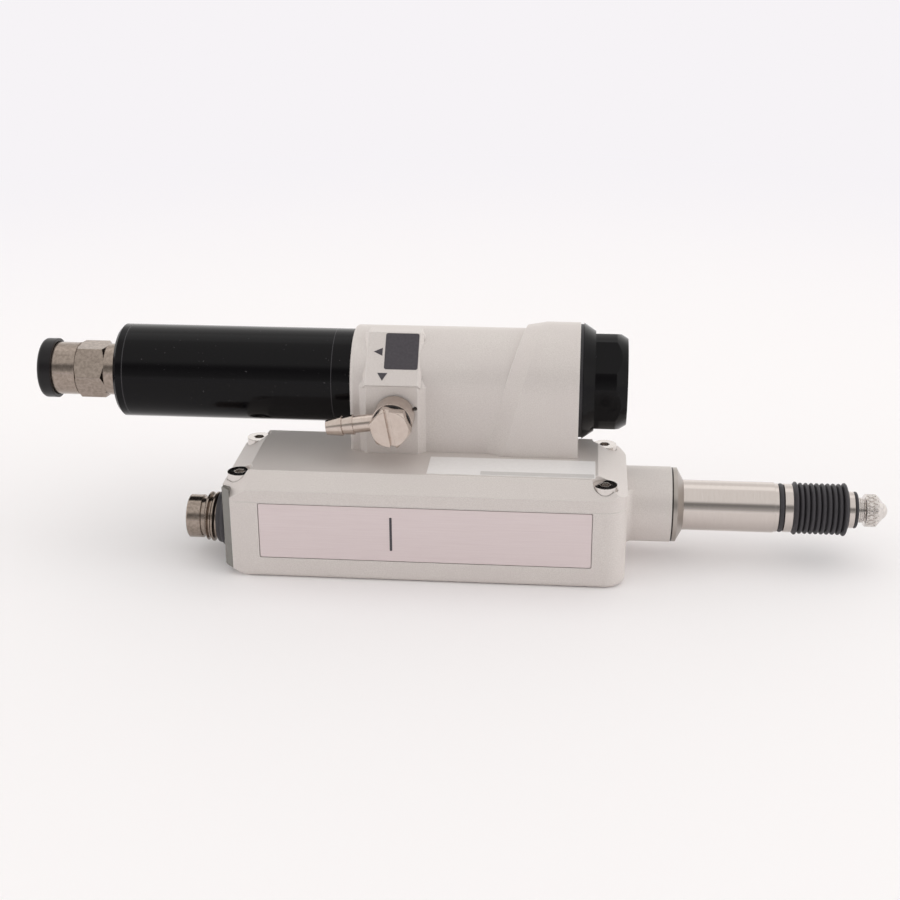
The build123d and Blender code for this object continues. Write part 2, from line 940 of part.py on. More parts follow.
def circuit_board():
    """Upright board on its two posts."""
    z0 = post_z - post_radius
    x0 = connector_tail_end + board_end_gap
    board = block(x0, hollow_right - board_end_gap, board_front, board_rear, z0, z0 + board_height)
    return board - board_posts(post_screw_radius, board_front, board_rear)


def board_screws():
    """Two small screws that hold the board to its posts."""
    start = board_front - post_screw_length + board_thickness
    shanks = board_posts(post_screw_radius, start, board_rear)
    heads = board_posts(post_screw_head_radius, board_rear, board_rear + post_screw_head_height)
    return Compound(children=[shank + head for shank, head in zip(shanks, heads)])


def image_sensor():
    """Reading sensor on the board, facing the scale."""
    face = -scale_thickness / 2 - reading_gap
    return block(head_left, head_right, board_rear, face, -sensor_height / 2, sensor_height / 2)


def light_source():
    """Lamp block on the rear wall, with a lens that lights the scale from behind."""
    face = scale_thickness / 2 + reading_gap
    half = sensor_height / 2
    body = block(head_left, head_right, face + lens_length, rear - side_wall, -half, half)
    lens = extrude(Plane.ZX * Circle(lens_radius), lens_length)
    return body + Pos((head_left + head_right) / 2, face, 0) * lens


def arch_face(radius):
    """End view of the air housing: a round on an upright pedestal that ends at the plateau's rear edge."""
    circle = Pos(air_axis_y, air_axis_z) * Circle(radius)
    y0 = air_axis_y - radius
    pedestal = Pos((y0 + plateau_rear) / 2, (plateau + air_axis_z) / 2)
    pedestal *= Rectangle(plateau_rear - y0, air_axis_height)
    return Plane.YZ * (circle + pedestal)


def large_section():
    """Right part of the arch, cut off on a slant and ramped down to the small part."""
    body = Pos(boss_left, 0, 0) * extrude(arch_face(large_radius), housing_right - boss_left)
    foot = (shoulder_x, air_axis_y - small_radius, plateau)
    slant = Plane(origin=foot, z_dir=(1, -tan(radians(shoulder_sweep)), -tan(radians(shoulder_lean))))
    body = split(body, bisect_by=slant, keep=Keep.TOP)
    cut = body.faces().sort_by(Axis.X)[0]
    outer = [edge for edge in cut.edges() if (edge @ 0.5).Z > plateau + near]
    step = large_radius - small_radius
    return chamfer(outer, step, shoulder_ramp, reference=cut)


def port_boss():
    """Raised flat for the banjo fitting, with a sloping panel above it."""
    step = large_radius - small_radius
    run = boss_panel_run
    crease = plateau + boss_crease_height
    outline = Polyline(
        (boss_face, plateau),
        (boss_face, crease),
        (boss_face + run, crease + run * tan(radians(boss_panel_angle))),
        (air_axis_y, air_axis_z + small_radius),
        (air_axis_y, plateau),
        close=True,
    )
    body = Pos(boss_left, 0, 0) * extrude(Plane.YZ * make_face(outline), boss_right - boss_left)
    sides = [edge for x in (0, -1) for edge in body.faces().sort_by(Axis.X)[x].edges()]
    outer = [edge for edge in sides if (edge @ 0.5).Y < air_axis_y - near]
    outer = [edge for edge in outer if (edge @ 0.5).Z > plateau + near]
    return chamfer(outer, step)


def bar_y(y0, y1, radius):
    """Round bar on the banjo bolt's axis."""
    return Pos(bolt_x, y0, bolt_z) * extrude(Plane.ZX * Circle(radius), y1 - y0)


def regulated_feed():
    """Drilled way of the regulated air, from the transfer tube along the housing to the chamber."""
    feed_x = diaphragm_left - feed_from_diaphragm
    feed_z = air_axis_z - feed_drop
    down = post(transfer_x, 0, plateau, feed_z, transfer_bore_radius)
    radius = transfer_bore_radius
    along = rod(transfer_x - radius, feed_x + radius, radius, 0, feed_z)
    across = Pos(feed_x, 0, feed_z) * extrude(Plane.ZX * Circle(transfer_bore_radius), air_axis_y)
    return down + along + across


def air_housing():
    """Arch-shaped air housing with its bores, fixing threads and port."""
    body = Pos(housing_left, 0, 0) * extrude(arch_face(small_radius), housing_right - housing_left)
    left_rim = [edge for edge in body.faces().sort_by(Axis.X)[0].edges() if (edge @ 0.5).Z > plateau + near]
    body = fillet(left_rim, housing_edge_radius)
    body += large_section()
    body += port_boss()
    left_bore_end = housing_left + left_bore_length
    axis = (air_axis_y, air_axis_z)
    body -= rod(housing_left, left_bore_end, left_bore_radius, *axis)
    body -= rod(left_bore_end, valve_chamber_left, channel_radius, *axis)
    body -= rod(valve_chamber_left, regulated_left, valve_chamber_radius, *axis)
    body -= rod(regulated_left, diaphragm_left, regulated_radius, *axis)
    body -= rod(diaphragm_left, housing_right, bonnet_thread_radius, *axis)
    body -= bar_y(boss_face, boss_face + bolt_depth, bolt_radius)
    body -= bar_y(boss_face, air_axis_y, port_bore_radius)
    vent = Pos(bolt_x + vent_from_bolt_x, boss_face, plateau + vent_from_floor)
    body -= vent * extrude(Plane.ZX * Circle(vent_radius), vent_depth)
    for x in (housing_screw_left, housing_screw_right):
        body -= post(x, housing_screw_y, plateau, plateau + housing_screw_depth, screw_core_radius)
    body -= post(transfer_x, 0, plateau, plateau + transfer_reach, transfer_radius)
    return body - regulated_feed()


def housing_screws():
    """Two screws from inside the cover into the air housing."""
    head_end = roof_wall + housing_screw_head_height
    screw = socket_screw(0, housing_screw_head_height, roof_wall + housing_screw_depth - screw_end_gap)
    upward = Pos(0, 0, plateau - head_end) * Rot(180, 0, 0) * screw
    places = (housing_screw_left, housing_screw_right)
    return Compound(children=[Pos(x, housing_screw_y, 0) * upward for x in places])


def transfer_tube():
    """Small tube that carries the regulated air down into the cylinder."""
    z0 = cylinder_bore_radius + inner_gap
    tube = post(transfer_x, 0, z0, plateau + transfer_reach, transfer_radius)
    return tube - post(transfer_x, 0, z0, plateau + transfer_reach, transfer_bore_radius)


def filter_tube():
    """Anodised tube with a spigot that enters the air housing."""
    spigot_end = housing_left + left_bore_length
    groove_start = housing_left + (left_bore_length - tube_groove_length) / 2
    groove_end = groove_start + tube_groove_length
    outline = [
        (tube_left, tube_bore_radius),
        (tube_left, tube_radius),
        (housing_left, tube_radius),
        (housing_left, left_bore_radius),
        (groove_start, left_bore_radius),
        (groove_start, tube_groove_radius),
        (groove_end, tube_groove_radius),
        (groove_end, left_bore_radius),
        (spigot_end, left_bore_radius),
        (spigot_end, tube_spigot_bore_radius),
        (housing_left - tube_step_wall, tube_spigot_bore_radius),
        (housing_left - tube_step_wall, tube_bore_radius),
    ]
    return turned(outline, air_axis_y, air_axis_z)


def tube_oring():
    """Seal ring on the tube's spigot."""
    x0 = housing_left + (left_bore_length - tube_groove_length) / 2
    return ring(x0, x0 + tube_groove_length, left_bore_radius, tube_groove_radius, air_axis_y, air_axis_z)


def tube_cap():
    """Cap of the filter tube, threaded for the fitting, with a nipple for the filter."""
    spigot_end = tube_left + tube_cap_spigot
    nipple_end = spigot_end + filter_nipple_length
    thread_end = cap_face + fitting_thread_length
    outline = [
        (cap_face, fitting_thread_radius),
        (cap_face, tube_radius - tube_cap_chamfer),
        (cap_face + tube_cap_chamfer, tube_radius),
        (tube_left, tube_radius),
        (tube_left, tube_bore_radius),
        (spigot_end, tube_bore_radius),
        (spigot_end, filter_nipple_radius),
        (nipple_end, filter_nipple_radius),
        (nipple_end, fitting_bore_radius),
        (thread_end, fitting_bore_radius),
        (thread_end, fitting_thread_radius),
    ]
    return turned(outline, air_axis_y, air_axis_z)


def filter_element():
    """Porous filter cup on the cap's nipple."""
    x0 = tube_left + tube_cap_spigot
    wall = filter_radius - filter_bore_radius
    outline = [
        (x0, filter_bore_radius),
        (x0, filter_radius),
        (x0 + filter_length, filter_radius),
        (x0 + filter_length, 0),
        (x0 + filter_length - wall, 0),
        (x0 + filter_length - wall, filter_bore_radius),
    ]
    return turned(outline, air_axis_y, air_axis_z)


def inlet_fitting():
    """Nickel push-in fitting: threaded spigot, neck, hexagon with turned corners and barrel."""
    axis = (air_axis_y, air_axis_z)
    thread_end = cap_face + fitting_thread_length
    envelope = [
        (hex_left, 0),
        (hex_left, fitting_hex_width / 2),
        (hex_left + fitting_hex_bevel, hex_corner),
        (hex_right - fitting_hex_bevel, hex_corner),
        (hex_right, fitting_hex_width / 2),
        (hex_right, 0),
    ]
    body = hexagon_bar(hex_left, hex_right, fitting_hex_width, fitting_hex_turn, *axis)
    body &= turned(envelope, *axis)
    body += rod(hex_right, cap_face, fitting_neck_radius, *axis)
    body += rod(cap_face, thread_end, fitting_thread_radius, *axis)
    body += rod(barrel_end, hex_left, fitting_barrel_radius, *axis)
    body -= rod(barrel_end, socket_end, fitting_socket_radius, *axis)
    body -= rod(socket_end, hose_stop, hose_bore_radius, *axis)
    return body - rod(hose_stop, thread_end, fitting_bore_radius, *axis)


def fitting_seal():
    """Seal that grips the hose in the push-in fitting."""
    x0 = socket_end - seal_length
    return ring(x0, socket_end, fitting_socket_radius, seal_grip_radius, air_axis_y, air_axis_z)


def fitting_collet():
    """Toothed ring that holds the hose."""
    x1 = socket_end - seal_length
    x0 = x1 - collet_length
    outline = [
        (x0, collet_mouth_radius),
        (x0, fitting_socket_radius),
        (x1, fitting_socket_radius),
        (x1, collet_tooth_radius),
    ]
    return turned(outline, air_axis_y, air_axis_z)


def release_ring():
    """Push ring whose cup slides over the barrel and whose sleeve opens the collet."""
    cup_rim = barrel_end + release_cup_depth - release_travel - 2 * inner_gap
    cup_floor = cup_rim - release_cup_depth
    sleeve_end = cup_floor + release_sleeve_reach
    x0 = cup_rim - release_length
    outline = [
        (x0, release_bore_radius + release_bore_chamfer),
        (x0, release_radius),
        (cup_rim, release_radius),
        (cup_rim, fitting_barrel_radius + inner_gap),
        (cup_floor, fitting_barrel_radius + inner_gap),
        (cup_floor, fitting_socket_radius - inner_gap),
        (sleeve_end, fitting_socket_radius - inner_gap),
        (sleeve_end, release_bore_radius),
        (x0 + release_bore_chamfer, release_bore_radius),
    ]
    body = turned(outline, air_axis_y, air_axis_z)
    outer_rims = body.edges().filter_by(GeomType.CIRCLE).group_by(SortBy.RADIUS)[-1]
    return fillet(outer_rims.sort_by(Axis.X)[0], release_edge_radius)


def bonnet():
    """Black spring bonnet with six wrench flats and a threaded spigot."""
    axis = (air_axis_y, air_axis_z)
    end = bonnet_left + bonnet_length
    cone_end = bonnet_left + bonnet_cone_length
    outline = [
        (diaphragm_right, bonnet_bore_radius),
        (diaphragm_right, bonnet_thread_radius),
        (bonnet_left, bonnet_thread_radius),
        (bonnet_left, bonnet_base_radius),
        (cone_end, bonnet_radius),
        (end - bonnet_chamfer_length, bonnet_radius),
        (end, bonnet_end_radius),
        (end, 0),
        (end - bonnet_end_wall, 0),
        (end - bonnet_end_wall, bonnet_bore_radius),
    ]
    body = turned(outline, *axis)
    collar = rod(cone_end, end, bonnet_radius + over, *axis)
    return body - (collar - hexagon_bar(cone_end, end, bonnet_flat_width, bonnet_flat_angle + 30, *axis))


def bonnet_gasket():
    """Flat seal between the housing and the bonnet's base."""
    outer = bonnet_base_radius - gasket_inset
    return ring(housing_right, bonnet_left, outer, bonnet_thread_radius, air_axis_y, air_axis_z)


def diaphragm():
    """Rubber disc that the regulated air pushes against the spring."""
    return rod(diaphragm_left, diaphragm_right, bonnet_thread_radius, air_axis_y, air_axis_z)


def diaphragm_plate():
    """Metal disc that spreads the spring's force on the diaphragm."""
    x1 = diaphragm_right + diaphragm_plate_thickness
    return rod(diaphragm_right, x1, diaphragm_plate_radius, air_axis_y, air_axis_z)


def regulating_spring():
    """Spring in the bonnet that sets the air pressure."""
    x0 = diaphragm_right + diaphragm_plate_thickness
    x1 = bonnet_left + bonnet_length - bonnet_end_wall
    mean = regulating_spring_radius
    return coil(x0, x1, mean, regulating_wire_radius, regulating_spring_turns, air_axis_y, air_axis_z)


def valve_seat():
    """Ring pressed into the valve chamber, whose orifice the poppet closes."""
    axis = (air_axis_y, air_axis_z)
    return ring(valve_seat_left, valve_seat_right, valve_chamber_radius, valve_orifice_radius, *axis)


def valve_pin():
    """Poppet with a thin stem that reaches the diaphragm."""
    outline = [
        (valve_seat_left - poppet_length, 0),
        (valve_seat_left - poppet_length, poppet_radius),
        (valve_seat_left, poppet_radius),
        (valve_seat_left, valve_stem_radius),
        (diaphragm_left, valve_stem_radius),
        (diaphragm_left, 0),
    ]
    return turned(outline, air_axis_y, air_axis_z)


def valve_spring():
    """Light spring that closes the poppet."""
    x1 = valve_seat_left - poppet_length
    mean = valve_spring_radius
    return coil(valve_chamber_left, x1, mean, valve_wire_radius, valve_spring_turns, air_axis_y, air_axis_z)


def banjo_gaskets():
    """Flat seals on both sides of the banjo ring."""
    rings = []
    for y0, y1 in ((elbow_rear, boss_face), (bolt_seat, elbow_front)):
        rings.append(bar_y(y0, y1, banjo_gasket_radius) - bar_y(y0, y1, bolt_radius))
    return Compound(children=rings)


def banjo_elbow():
    """Banjo ring with a hose barb that leaves to the left and slightly down."""
    second = barb_reach - barb_tip_length
    third = second - barb_second_length
    outline = [
        (0, 0),
        (0, barb_neck_radius),
        (-third, barb_neck_radius),
        (-third, barb_radius),
        (-second, barb_neck_radius),
        (-second, barb_radius),
        (-barb_reach, barb_tip_radius),
        (-barb_reach, 0),
    ]
    place = Pos(bolt_x, elbow_middle - barb_offset, bolt_z) * Rot(0, -barb_drop_angle, 0)
    body = bar_y(elbow_front, elbow_rear, banjo_radius) + place * turned(outline)
    body -= bar_y(elbow_front, elbow_rear, banjo_bore_radius)
    return body - place * rod(-barb_reach, -bolt_radius, barb_bore_radius)


def banjo_bolt():
    """Slotted hexagon bolt that holds the banjo ring, bored for the air."""
    corner = bolt_head_width / 2 / cos(radians(30))
    outline = Rot(0, 0, bolt_head_turn) * RegularPolygon(bolt_head_width / 2, 6, major_radius=False)
    face = Plane(origin=(bolt_x, bolt_seat, bolt_z), x_dir=(1, 0, 0), z_dir=(0, -1, 0))
    head = face * extrude(outline, bolt_head_length)
    blank = face * extrude(Circle(corner), bolt_head_length)
    rim = blank.edges().filter_by(GeomType.CIRCLE).sort_by(Axis.Y)[0]
    head &= chamfer(rim, corner - bolt_head_width / 2)
    slot = Rot(0, 0, bolt_slot_turn) * Rectangle(bolt_slot_width, 2 * corner + over)
    head -= face * (Pos(0, 0, bolt_head_length) * extrude(slot, -bolt_slot_depth))
    body = head + bar_y(bolt_seat, boss_face + bolt_depth, bolt_radius)
    drill = bar_y(elbow_front, boss_face + bolt_depth, bolt_radius / 2)
    cross = rod(-2 * bolt_radius, 0, bolt_radius / 3)
    return body - drill - Pos(bolt_x, elbow_middle, bolt_z) * Rot(0, -barb_drop_angle, 0) * cross


pieces = [
    case, cover, cover_gasket, cover_screws, nameplate, cover_label, indicator_window,
    connector_shell, connector_nut, connector_insert, connector_pins, connector_gasket,
    nose_ring, stem, guide_bush, bellows_seat, seat_oring, bellows, bellows_cap, cap_oring,
    contact_tip, contact_ball, spindle, piston, piston_seal, return_spring,
    air_cylinder, cylinder_gland, gland_seal, transfer_tube,
    scale_holder, glass_scale, circuit_board, board_screws, image_sensor, light_source,
    air_housing, housing_screws, filter_tube, tube_oring, tube_cap, filter_element,
    inlet_fitting, fitting_seal, fitting_collet, release_ring,
    bonnet, bonnet_gasket, diaphragm, diaphragm_plate, regulating_spring,
    valve_seat, valve_pin, valve_spring, banjo_bolt, banjo_elbow, banjo_gaskets,
]

os.makedirs("parts", exist_ok=True)
for piece in pieces:
    export_step(piece(), f"parts/{piece.__name__}.step")
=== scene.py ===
import bpy
import math
from mathutils import Matrix, Vector


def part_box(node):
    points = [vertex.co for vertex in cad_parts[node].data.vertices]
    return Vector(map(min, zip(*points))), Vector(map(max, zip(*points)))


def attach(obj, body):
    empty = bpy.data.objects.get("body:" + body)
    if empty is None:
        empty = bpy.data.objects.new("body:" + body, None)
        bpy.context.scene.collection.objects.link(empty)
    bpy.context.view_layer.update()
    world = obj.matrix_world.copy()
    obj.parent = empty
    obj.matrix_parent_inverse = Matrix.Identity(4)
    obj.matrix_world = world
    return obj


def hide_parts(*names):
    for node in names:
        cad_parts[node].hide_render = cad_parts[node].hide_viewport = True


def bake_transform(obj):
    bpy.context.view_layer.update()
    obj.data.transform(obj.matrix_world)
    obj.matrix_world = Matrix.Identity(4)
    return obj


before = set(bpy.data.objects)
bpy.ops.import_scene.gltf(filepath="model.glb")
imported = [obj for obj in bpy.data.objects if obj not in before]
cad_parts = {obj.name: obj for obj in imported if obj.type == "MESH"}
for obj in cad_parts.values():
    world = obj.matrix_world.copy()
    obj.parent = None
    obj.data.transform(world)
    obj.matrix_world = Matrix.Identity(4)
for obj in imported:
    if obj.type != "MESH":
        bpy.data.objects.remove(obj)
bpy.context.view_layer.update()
mm = 0.001

# Camera: it stands in front of the sensor and a little to the left of its stem, and looks down on it.
# Its place in millimetres, its turn in degrees and its focal length were solved from the photograph's edges.

camera_place = Vector((-16.92, -222.55, 96.98)) * mm
camera_yaw, camera_pitch, camera_roll = 5.17, 21.67, -0.25
film_width, focal_length = 36.0, 60.35
nearest_seen, furthest_seen = 0.01, 20.0
camera_turn = (
    Matrix.Rotation(math.radians(camera_yaw), 4, "Z")
    @ Matrix.Rotation(math.radians(90 - camera_pitch), 4, "X")
    @ Matrix.Rotation(math.radians(camera_roll), 4, "Z")
)
camera = bpy.data.objects.new("camera", bpy.data.cameras.new("camera"))
bpy.context.scene.collection.objects.link(camera)
camera.matrix_world = Matrix.Translation(camera_place) @ camera_turn
camera.data.sensor_width = film_width
camera.data.lens = focal_length
camera.data.clip_start = nearest_seen
camera.data.clip_end = furthest_seen
bpy.context.scene.camera = camera
bpy.context.scene.view_settings.view_transform = "Standard"


# Studio: a white tent all round and overhead, open only in front, where a dark room shows as a wide slot.
# The polished parts mirror that opening as one dark band each. What metal mirrors of the tent is held just
# above white, so that its bright edges keep their form.

room_direction = (0.0, -0.961, 0.276)
room_widening = (0.22, 1.0, 1.0)
room_edge, room_middle = 0.90, 0.985
room_strength = 0.22
horizon_strength, roof_strength, roof_start = 2.45, 0.92, 0.5
mirrored_limit = 1.1


def linear(hex_colour):
    """Linear colour with full alpha from an sRGB hex value."""
    channels = [int(hex_colour[i : i + 2], 16) / 255 for i in (1, 3, 5)]
    return tuple(c / 12.92 if c <= 0.04045 else ((c + 0.055) / 1.055) ** 2.4 for c in channels) + (1.0,)


def add(tree, kind, inputs=None, **settings):
    """Adds a node, with its settings, and gives each named or numbered input a value or a link.

    In a Mix node, inputs 0, 2 and 3 are the factor and two numbers, and 6 and 7 are two colours.
    """
    node = tree.nodes.new(kind)
    for name, value in settings.items():
        setattr(node, name, value)
    for name, value in (inputs or {}).items():
        if isinstance(value, bpy.types.NodeSocket):
            tree.links.new(value, node.inputs[name])
        else:
            node.inputs[name].default_value = value
    return node


world = bpy.data.worlds.new("studio")
bpy.context.scene.world = world
world.use_nodes = True
sky = world.node_tree
sky.nodes.clear()
ray = add(sky, "ShaderNodeLightPath")
direction = add(sky, "ShaderNodeTexCoord").outputs["Generated"]
height = add(sky, "ShaderNodeSeparateXYZ", {0: direction})
widened = add(sky, "ShaderNodeVectorMath", {0: direction, 1: room_widening}, operation="MULTIPLY")
aimed = add(sky, "ShaderNodeVectorMath", {0: widened.outputs[0]}, operation="NORMALIZE")
towards_room = add(sky, "ShaderNodeVectorMath", {0: aimed.outputs[0], 1: room_direction}, operation="DOT_PRODUCT")
opening = add(
    sky, "ShaderNodeMapRange",
    {"Value": towards_room.outputs["Value"], "From Min": room_edge, "From Max": room_middle,
     "To Min": 1.0, "To Max": room_strength},
    interpolation_type="SMOOTHSTEP",
)
roof = add(
    sky, "ShaderNodeMapRange",
    {"Value": height.outputs["Z"], "From Min": 0.0, "From Max": roof_start,
     "To Min": horizon_strength, "To Max": roof_strength},
    interpolation_type="SMOOTHSTEP",
)
tent = add(sky, "ShaderNodeMath", {0: opening.outputs[0], 1: roof.outputs[0]}, operation="MULTIPLY")
mirrored_tent = add(sky, "ShaderNodeMath", {0: tent.outputs[0], 1: mirrored_limit}, operation="MINIMUM")
strength = add(
    sky, "ShaderNodeMix", {0: ray.outputs["Is Glossy Ray"], 2: tent.outputs[0], 3: mirrored_tent.outputs[0]}
)
lit = add(sky, "ShaderNodeBackground", {"Color": linear("#FFFDFB"), "Strength": strength.outputs[0]})
backdrop = add(sky, "ShaderNodeBackground", {"Color": linear("#F7F5F8"), "Strength": 1.0})
seen = add(
    sky, "ShaderNodeMixShader", {0: ray.outputs["Is Camera Ray"], 1: lit.outputs[0], 2: backdrop.outputs[0]}
)
add(sky, "ShaderNodeOutputWorld", {0: seen.outputs[0]})


def soft_lamp(name, place, target, width, depth, watts, mirrored):
    """Rectangular area lamp at a place in millimetres, aimed at a target, which metals mirror or not."""
    lamp = bpy.data.objects.new(name, bpy.data.lights.new(name, "AREA"))
    bpy.context.scene.collection.objects.link(lamp)
    lamp.data.shape = "RECTANGLE"
    lamp.data.size = width * mm
    lamp.data.size_y = depth * mm
    lamp.data.energy = watts
    lamp.visible_glossy = mirrored
    aim = Vector(target) - Vector(place)
    lamp.matrix_world = Matrix.Translation(Vector(place) * mm) @ aim.to_track_quat("-Z", "Y").to_matrix().to_4x4()


soft_lamp(
    "overhead_lamp", place=(-150, 480, 1100), target=(-40, 0, 0), width=1000, depth=500, watts=0.45, mirrored=True
)
soft_lamp(
    "right_lamp", place=(900, -80, 220), target=(-20, 0, 0), width=500, depth=400, watts=1.3, mirrored=False
)
soft_lamp(
    "left_lamp", place=(-950, -60, 240), target=(-60, 0, 0), width=500, depth=400, watts=0.7, mirrored=False
)


# Table: a wide sheet of matt white paper, on which the case rests. Near by it takes the object's shadow.
# Further off, the camera, metal and glass see the paper's own even tone.

table_size = 8.0
shadow_middle, shadow_inner, shadow_outer = (-0.035, 0.0, 0.0), 0.10, 0.34
table_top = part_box("case")[0][2]
bpy.ops.mesh.primitive_plane_add(size=table_size, location=(0, 0, table_top))
table = bpy.context.object
table.name = "table"


def new_material(name):
    """Material with a Principled shader and its output, and its tree and shader."""
    material = bpy.data.materials.new(name)
    material.use_nodes = True
    material.node_tree.nodes.clear()
    shader = add(material.node_tree, "ShaderNodeBsdfPrincipled")
    add(material.node_tree, "ShaderNodeOutputMaterial", {0: shader.outputs[0]})
    return material, material.node_tree, shader


def set_inputs(shader, **values):
    """Sets constant sockets of a shader, with spaces written as underscores."""
    for name, value in values.items():
        shader.inputs[name.replace("_", " ")].default_value = value


table_white, tree, shader = new_material("white_paper_sweep")
spot = add(tree, "ShaderNodeTexCoord").outputs["Object"]
mottle = add(tree, "ShaderNodeTexNoise", {"Vector": spot, "Scale": 4.0})
tone = add(
    tree, "ShaderNodeMix", {0: mottle.outputs[0], 6: linear("#F8F6F7"), 7: linear("#FBF9FA")}, data_type="RGBA"
)
tree.links.new(tone.outputs[2], shader.inputs["Base Color"])
set_inputs(shader, Roughness=0.7, Specular_IOR_Level=0.1)
away = add(tree, "ShaderNodeVectorMath", {0: spot, 1: shadow_middle}, operation="DISTANCE")
far = add(
    tree, "ShaderNodeMapRange",
    {"Value": away.outputs["Value"], "From Min": shadow_inner, "From Max": shadow_outer, "To Min": 0.0, "To Max": 1.0},
    interpolation_type="SMOOTHSTEP",
)
path = add(tree, "ShaderNodeLightPath")
looked_at = add(
    tree, "ShaderNodeMath", {0: path.outputs["Is Camera Ray"], 1: path.outputs["Is Glossy Ray"]}, operation="MAXIMUM"
)
shown = add(
    tree, "ShaderNodeMath", {0: looked_at.outputs[0], 1: path.outputs["Is Transmission Ray"]}, operation="MAXIMUM"
)
share = add(tree, "ShaderNodeMath", {0: shown.outputs[0], 1: far.outputs[0]}, operation="MULTIPLY")
paper = add(tree, "ShaderNodeEmission", {"Color": linear("#F6F3F6"), "Strength": 1.0})
sweep = add(tree, "ShaderNodeMixShader", {0: share.outputs[0], 1: shader.outputs[0], 2: paper.outputs[0]})
tree.links.new(sweep.outputs[0], tree.get_output_node("ALL").inputs["Surface"])
table.data.materials.append(table_white)


# Case, cover and air housing: die castings, sprayed with one silver-grey metallic paint and screwed together.
# The flakes give a fine sandy sparkle, drawn several times coarser than life so that it shows. A painted highlight
# lightens the paint along every edge, and its tone drifts a little over the broad faces.

flake_size, drift_size = 0.14, 6.0
paint_edge, edge_samples = 0.22, 6


def dress(material, *nodes):
    """Gives CAD nodes one material."""
    for name in nodes:
        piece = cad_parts[name]
        if not piece.material_slots:
            piece.data.materials.append(material)
        for slot in piece.material_slots:
            slot.material = material


def grain(tree, size, detail=2.0, stretch=(1, 1, 1)):
    """Noise on object coordinates with features of a size in millimetres, drawn out where stretch is under 1."""
    place = add(tree, "ShaderNodeMapping", {0: add(tree, "ShaderNodeTexCoord").outputs["Object"], "Scale": stretch})
    return add(tree, "ShaderNodeTexNoise", {"Vector": place.outputs[0], "Scale": 1 / (size * mm), "Detail": detail})


silver_paint, tree, shader = new_material("silver_metallic_paint")
flakes = grain(tree, flake_size, detail=1.0)
patches = grain(tree, drift_size)
flake_tone = add(
    tree, "ShaderNodeMix", {0: flakes.outputs[0], 6: linear("#C5BDB8"), 7: linear("#EAE5E1")}, data_type="RGBA"
)
patch_share = add(
    tree, "ShaderNodeMapRange",
    {"Value": patches.outputs[0], "From Min": 0.35, "From Max": 0.65, "To Min": 0.15, "To Max": 0.5},
)
patch_tone = add(
    tree, "ShaderNodeMix",
    {0: patch_share.outputs[0], 6: flake_tone.outputs[2], 7: linear("#D5CDCA")}, data_type="RGBA",
)
rounded = add(tree, "ShaderNodeBevel", {"Radius": paint_edge * mm}, samples=edge_samples)
true_normal = add(tree, "ShaderNodeNewGeometry").outputs["True Normal"]
flatness = add(tree, "ShaderNodeVectorMath", {0: rounded.outputs[0], 1: true_normal}, operation="DOT_PRODUCT")
# Painted highlight: the colour turns lighter where the rounded normal leans away from the flat face, along every edge.
edge_highlight_share = add(
    tree, "ShaderNodeMapRange",
    {"Value": flatness.outputs["Value"], "From Min": 0.985, "From Max": 0.90, "To Min": 0.0, "To Max": 0.55},
)
painted_edge_highlight = add(
    tree, "ShaderNodeMix", {0: edge_highlight_share.outputs[0], 6: patch_tone.outputs[2], 7: linear("#F4F1EE")}, data_type="RGBA"
)
tree.links.new(painted_edge_highlight.outputs[2], shader.inputs["Base Color"])
sand = add(
    tree, "ShaderNodeBump",
    {"Strength": 0.16, "Distance": 0.02 * mm, "Height": flakes.outputs[0], "Normal": rounded.outputs[0]},
)
tree.links.new(sand.outputs[0], shader.inputs["Normal"])
set_inputs(shader, Metallic=0.25, Roughness=0.48)
dress(silver_paint, "case", "cover", "air_housing")


# Port marks on the air housing's sloping panel: a dark block with rounded corners and two arrowheads,
# screen-printed in one charcoal ink on the panel's raised, painted face. The ink is dull and a little uneven.

corner_step = 15
panel_slope = math.radians(50)
panel_foot = Vector((0, -3.1, 19.65))
panel_rise = Vector((0, math.cos(panel_slope), math.sin(panel_slope)))
panel_out = Vector((0, -math.sin(panel_slope), math.cos(panel_slope)))
panel_buried, panel_face = -0.3, 0.28
panel_foot_line = [(-50.58, -0.1), (-41.22, -0.1), (-41.22, 9.18), (-50.58, 9.18)]
panel_top_line = [(-50.0, 0.1), (-41.8, 0.1), (-41.8, 9.1), (-50.0, 9.1)]
ink_thickness = 0.03


def new_piece(name, mesh, material):
    """Object for a finished mesh, with one material."""
    piece = bpy.data.objects.new(name, mesh)
    bpy.context.scene.collection.objects.link(piece)
    piece.data.materials.append(material)
    return piece


def thin_patch(name, outline, bottom, top, place, material, foot=None):
    """Thin flat piece from an outline in millimetres, between two heights, put in place by a function."""
    count = len(outline)
    points = [place(a, b, bottom) for a, b in foot or outline] + [place(a, b, top) for a, b in outline]
    faces = [list(range(count - 1, -1, -1)), list(range(count, 2 * count))]
    faces += [[i, (i + 1) % count, (i + 1) % count + count, i + count] for i in range(count)]
    mesh = bpy.data.meshes.new(name)
    mesh.from_pydata([Vector(p) * mm for p in points], [], faces)
    mesh.validate()
    patch = new_piece(name, mesh, material)
    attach(patch, "base")
    return patch


def rounded_box(a0, a1, b0, b1, radius):
    """Outline of a rectangle with round corners, turning left."""
    corners = [
        (a1 - radius, b0 + radius, -90), (a1 - radius, b1 - radius, 0),
        (a0 + radius, b1 - radius, 90), (a0 + radius, b0 + radius, 180),
    ]
    outline = []
    for a, b, start in corners:
        for turn in range(0, 91, corner_step):
            t = math.radians(start + turn)
            outline.append((a + radius * math.cos(t), b + radius * math.sin(t)))
    return outline


def on_panel(x, up, out):
    """Point over the sloping panel, from X, the way up its slope and the height above it."""
    return Vector((x, 0, 0)) + panel_foot + panel_rise * up + panel_out * out


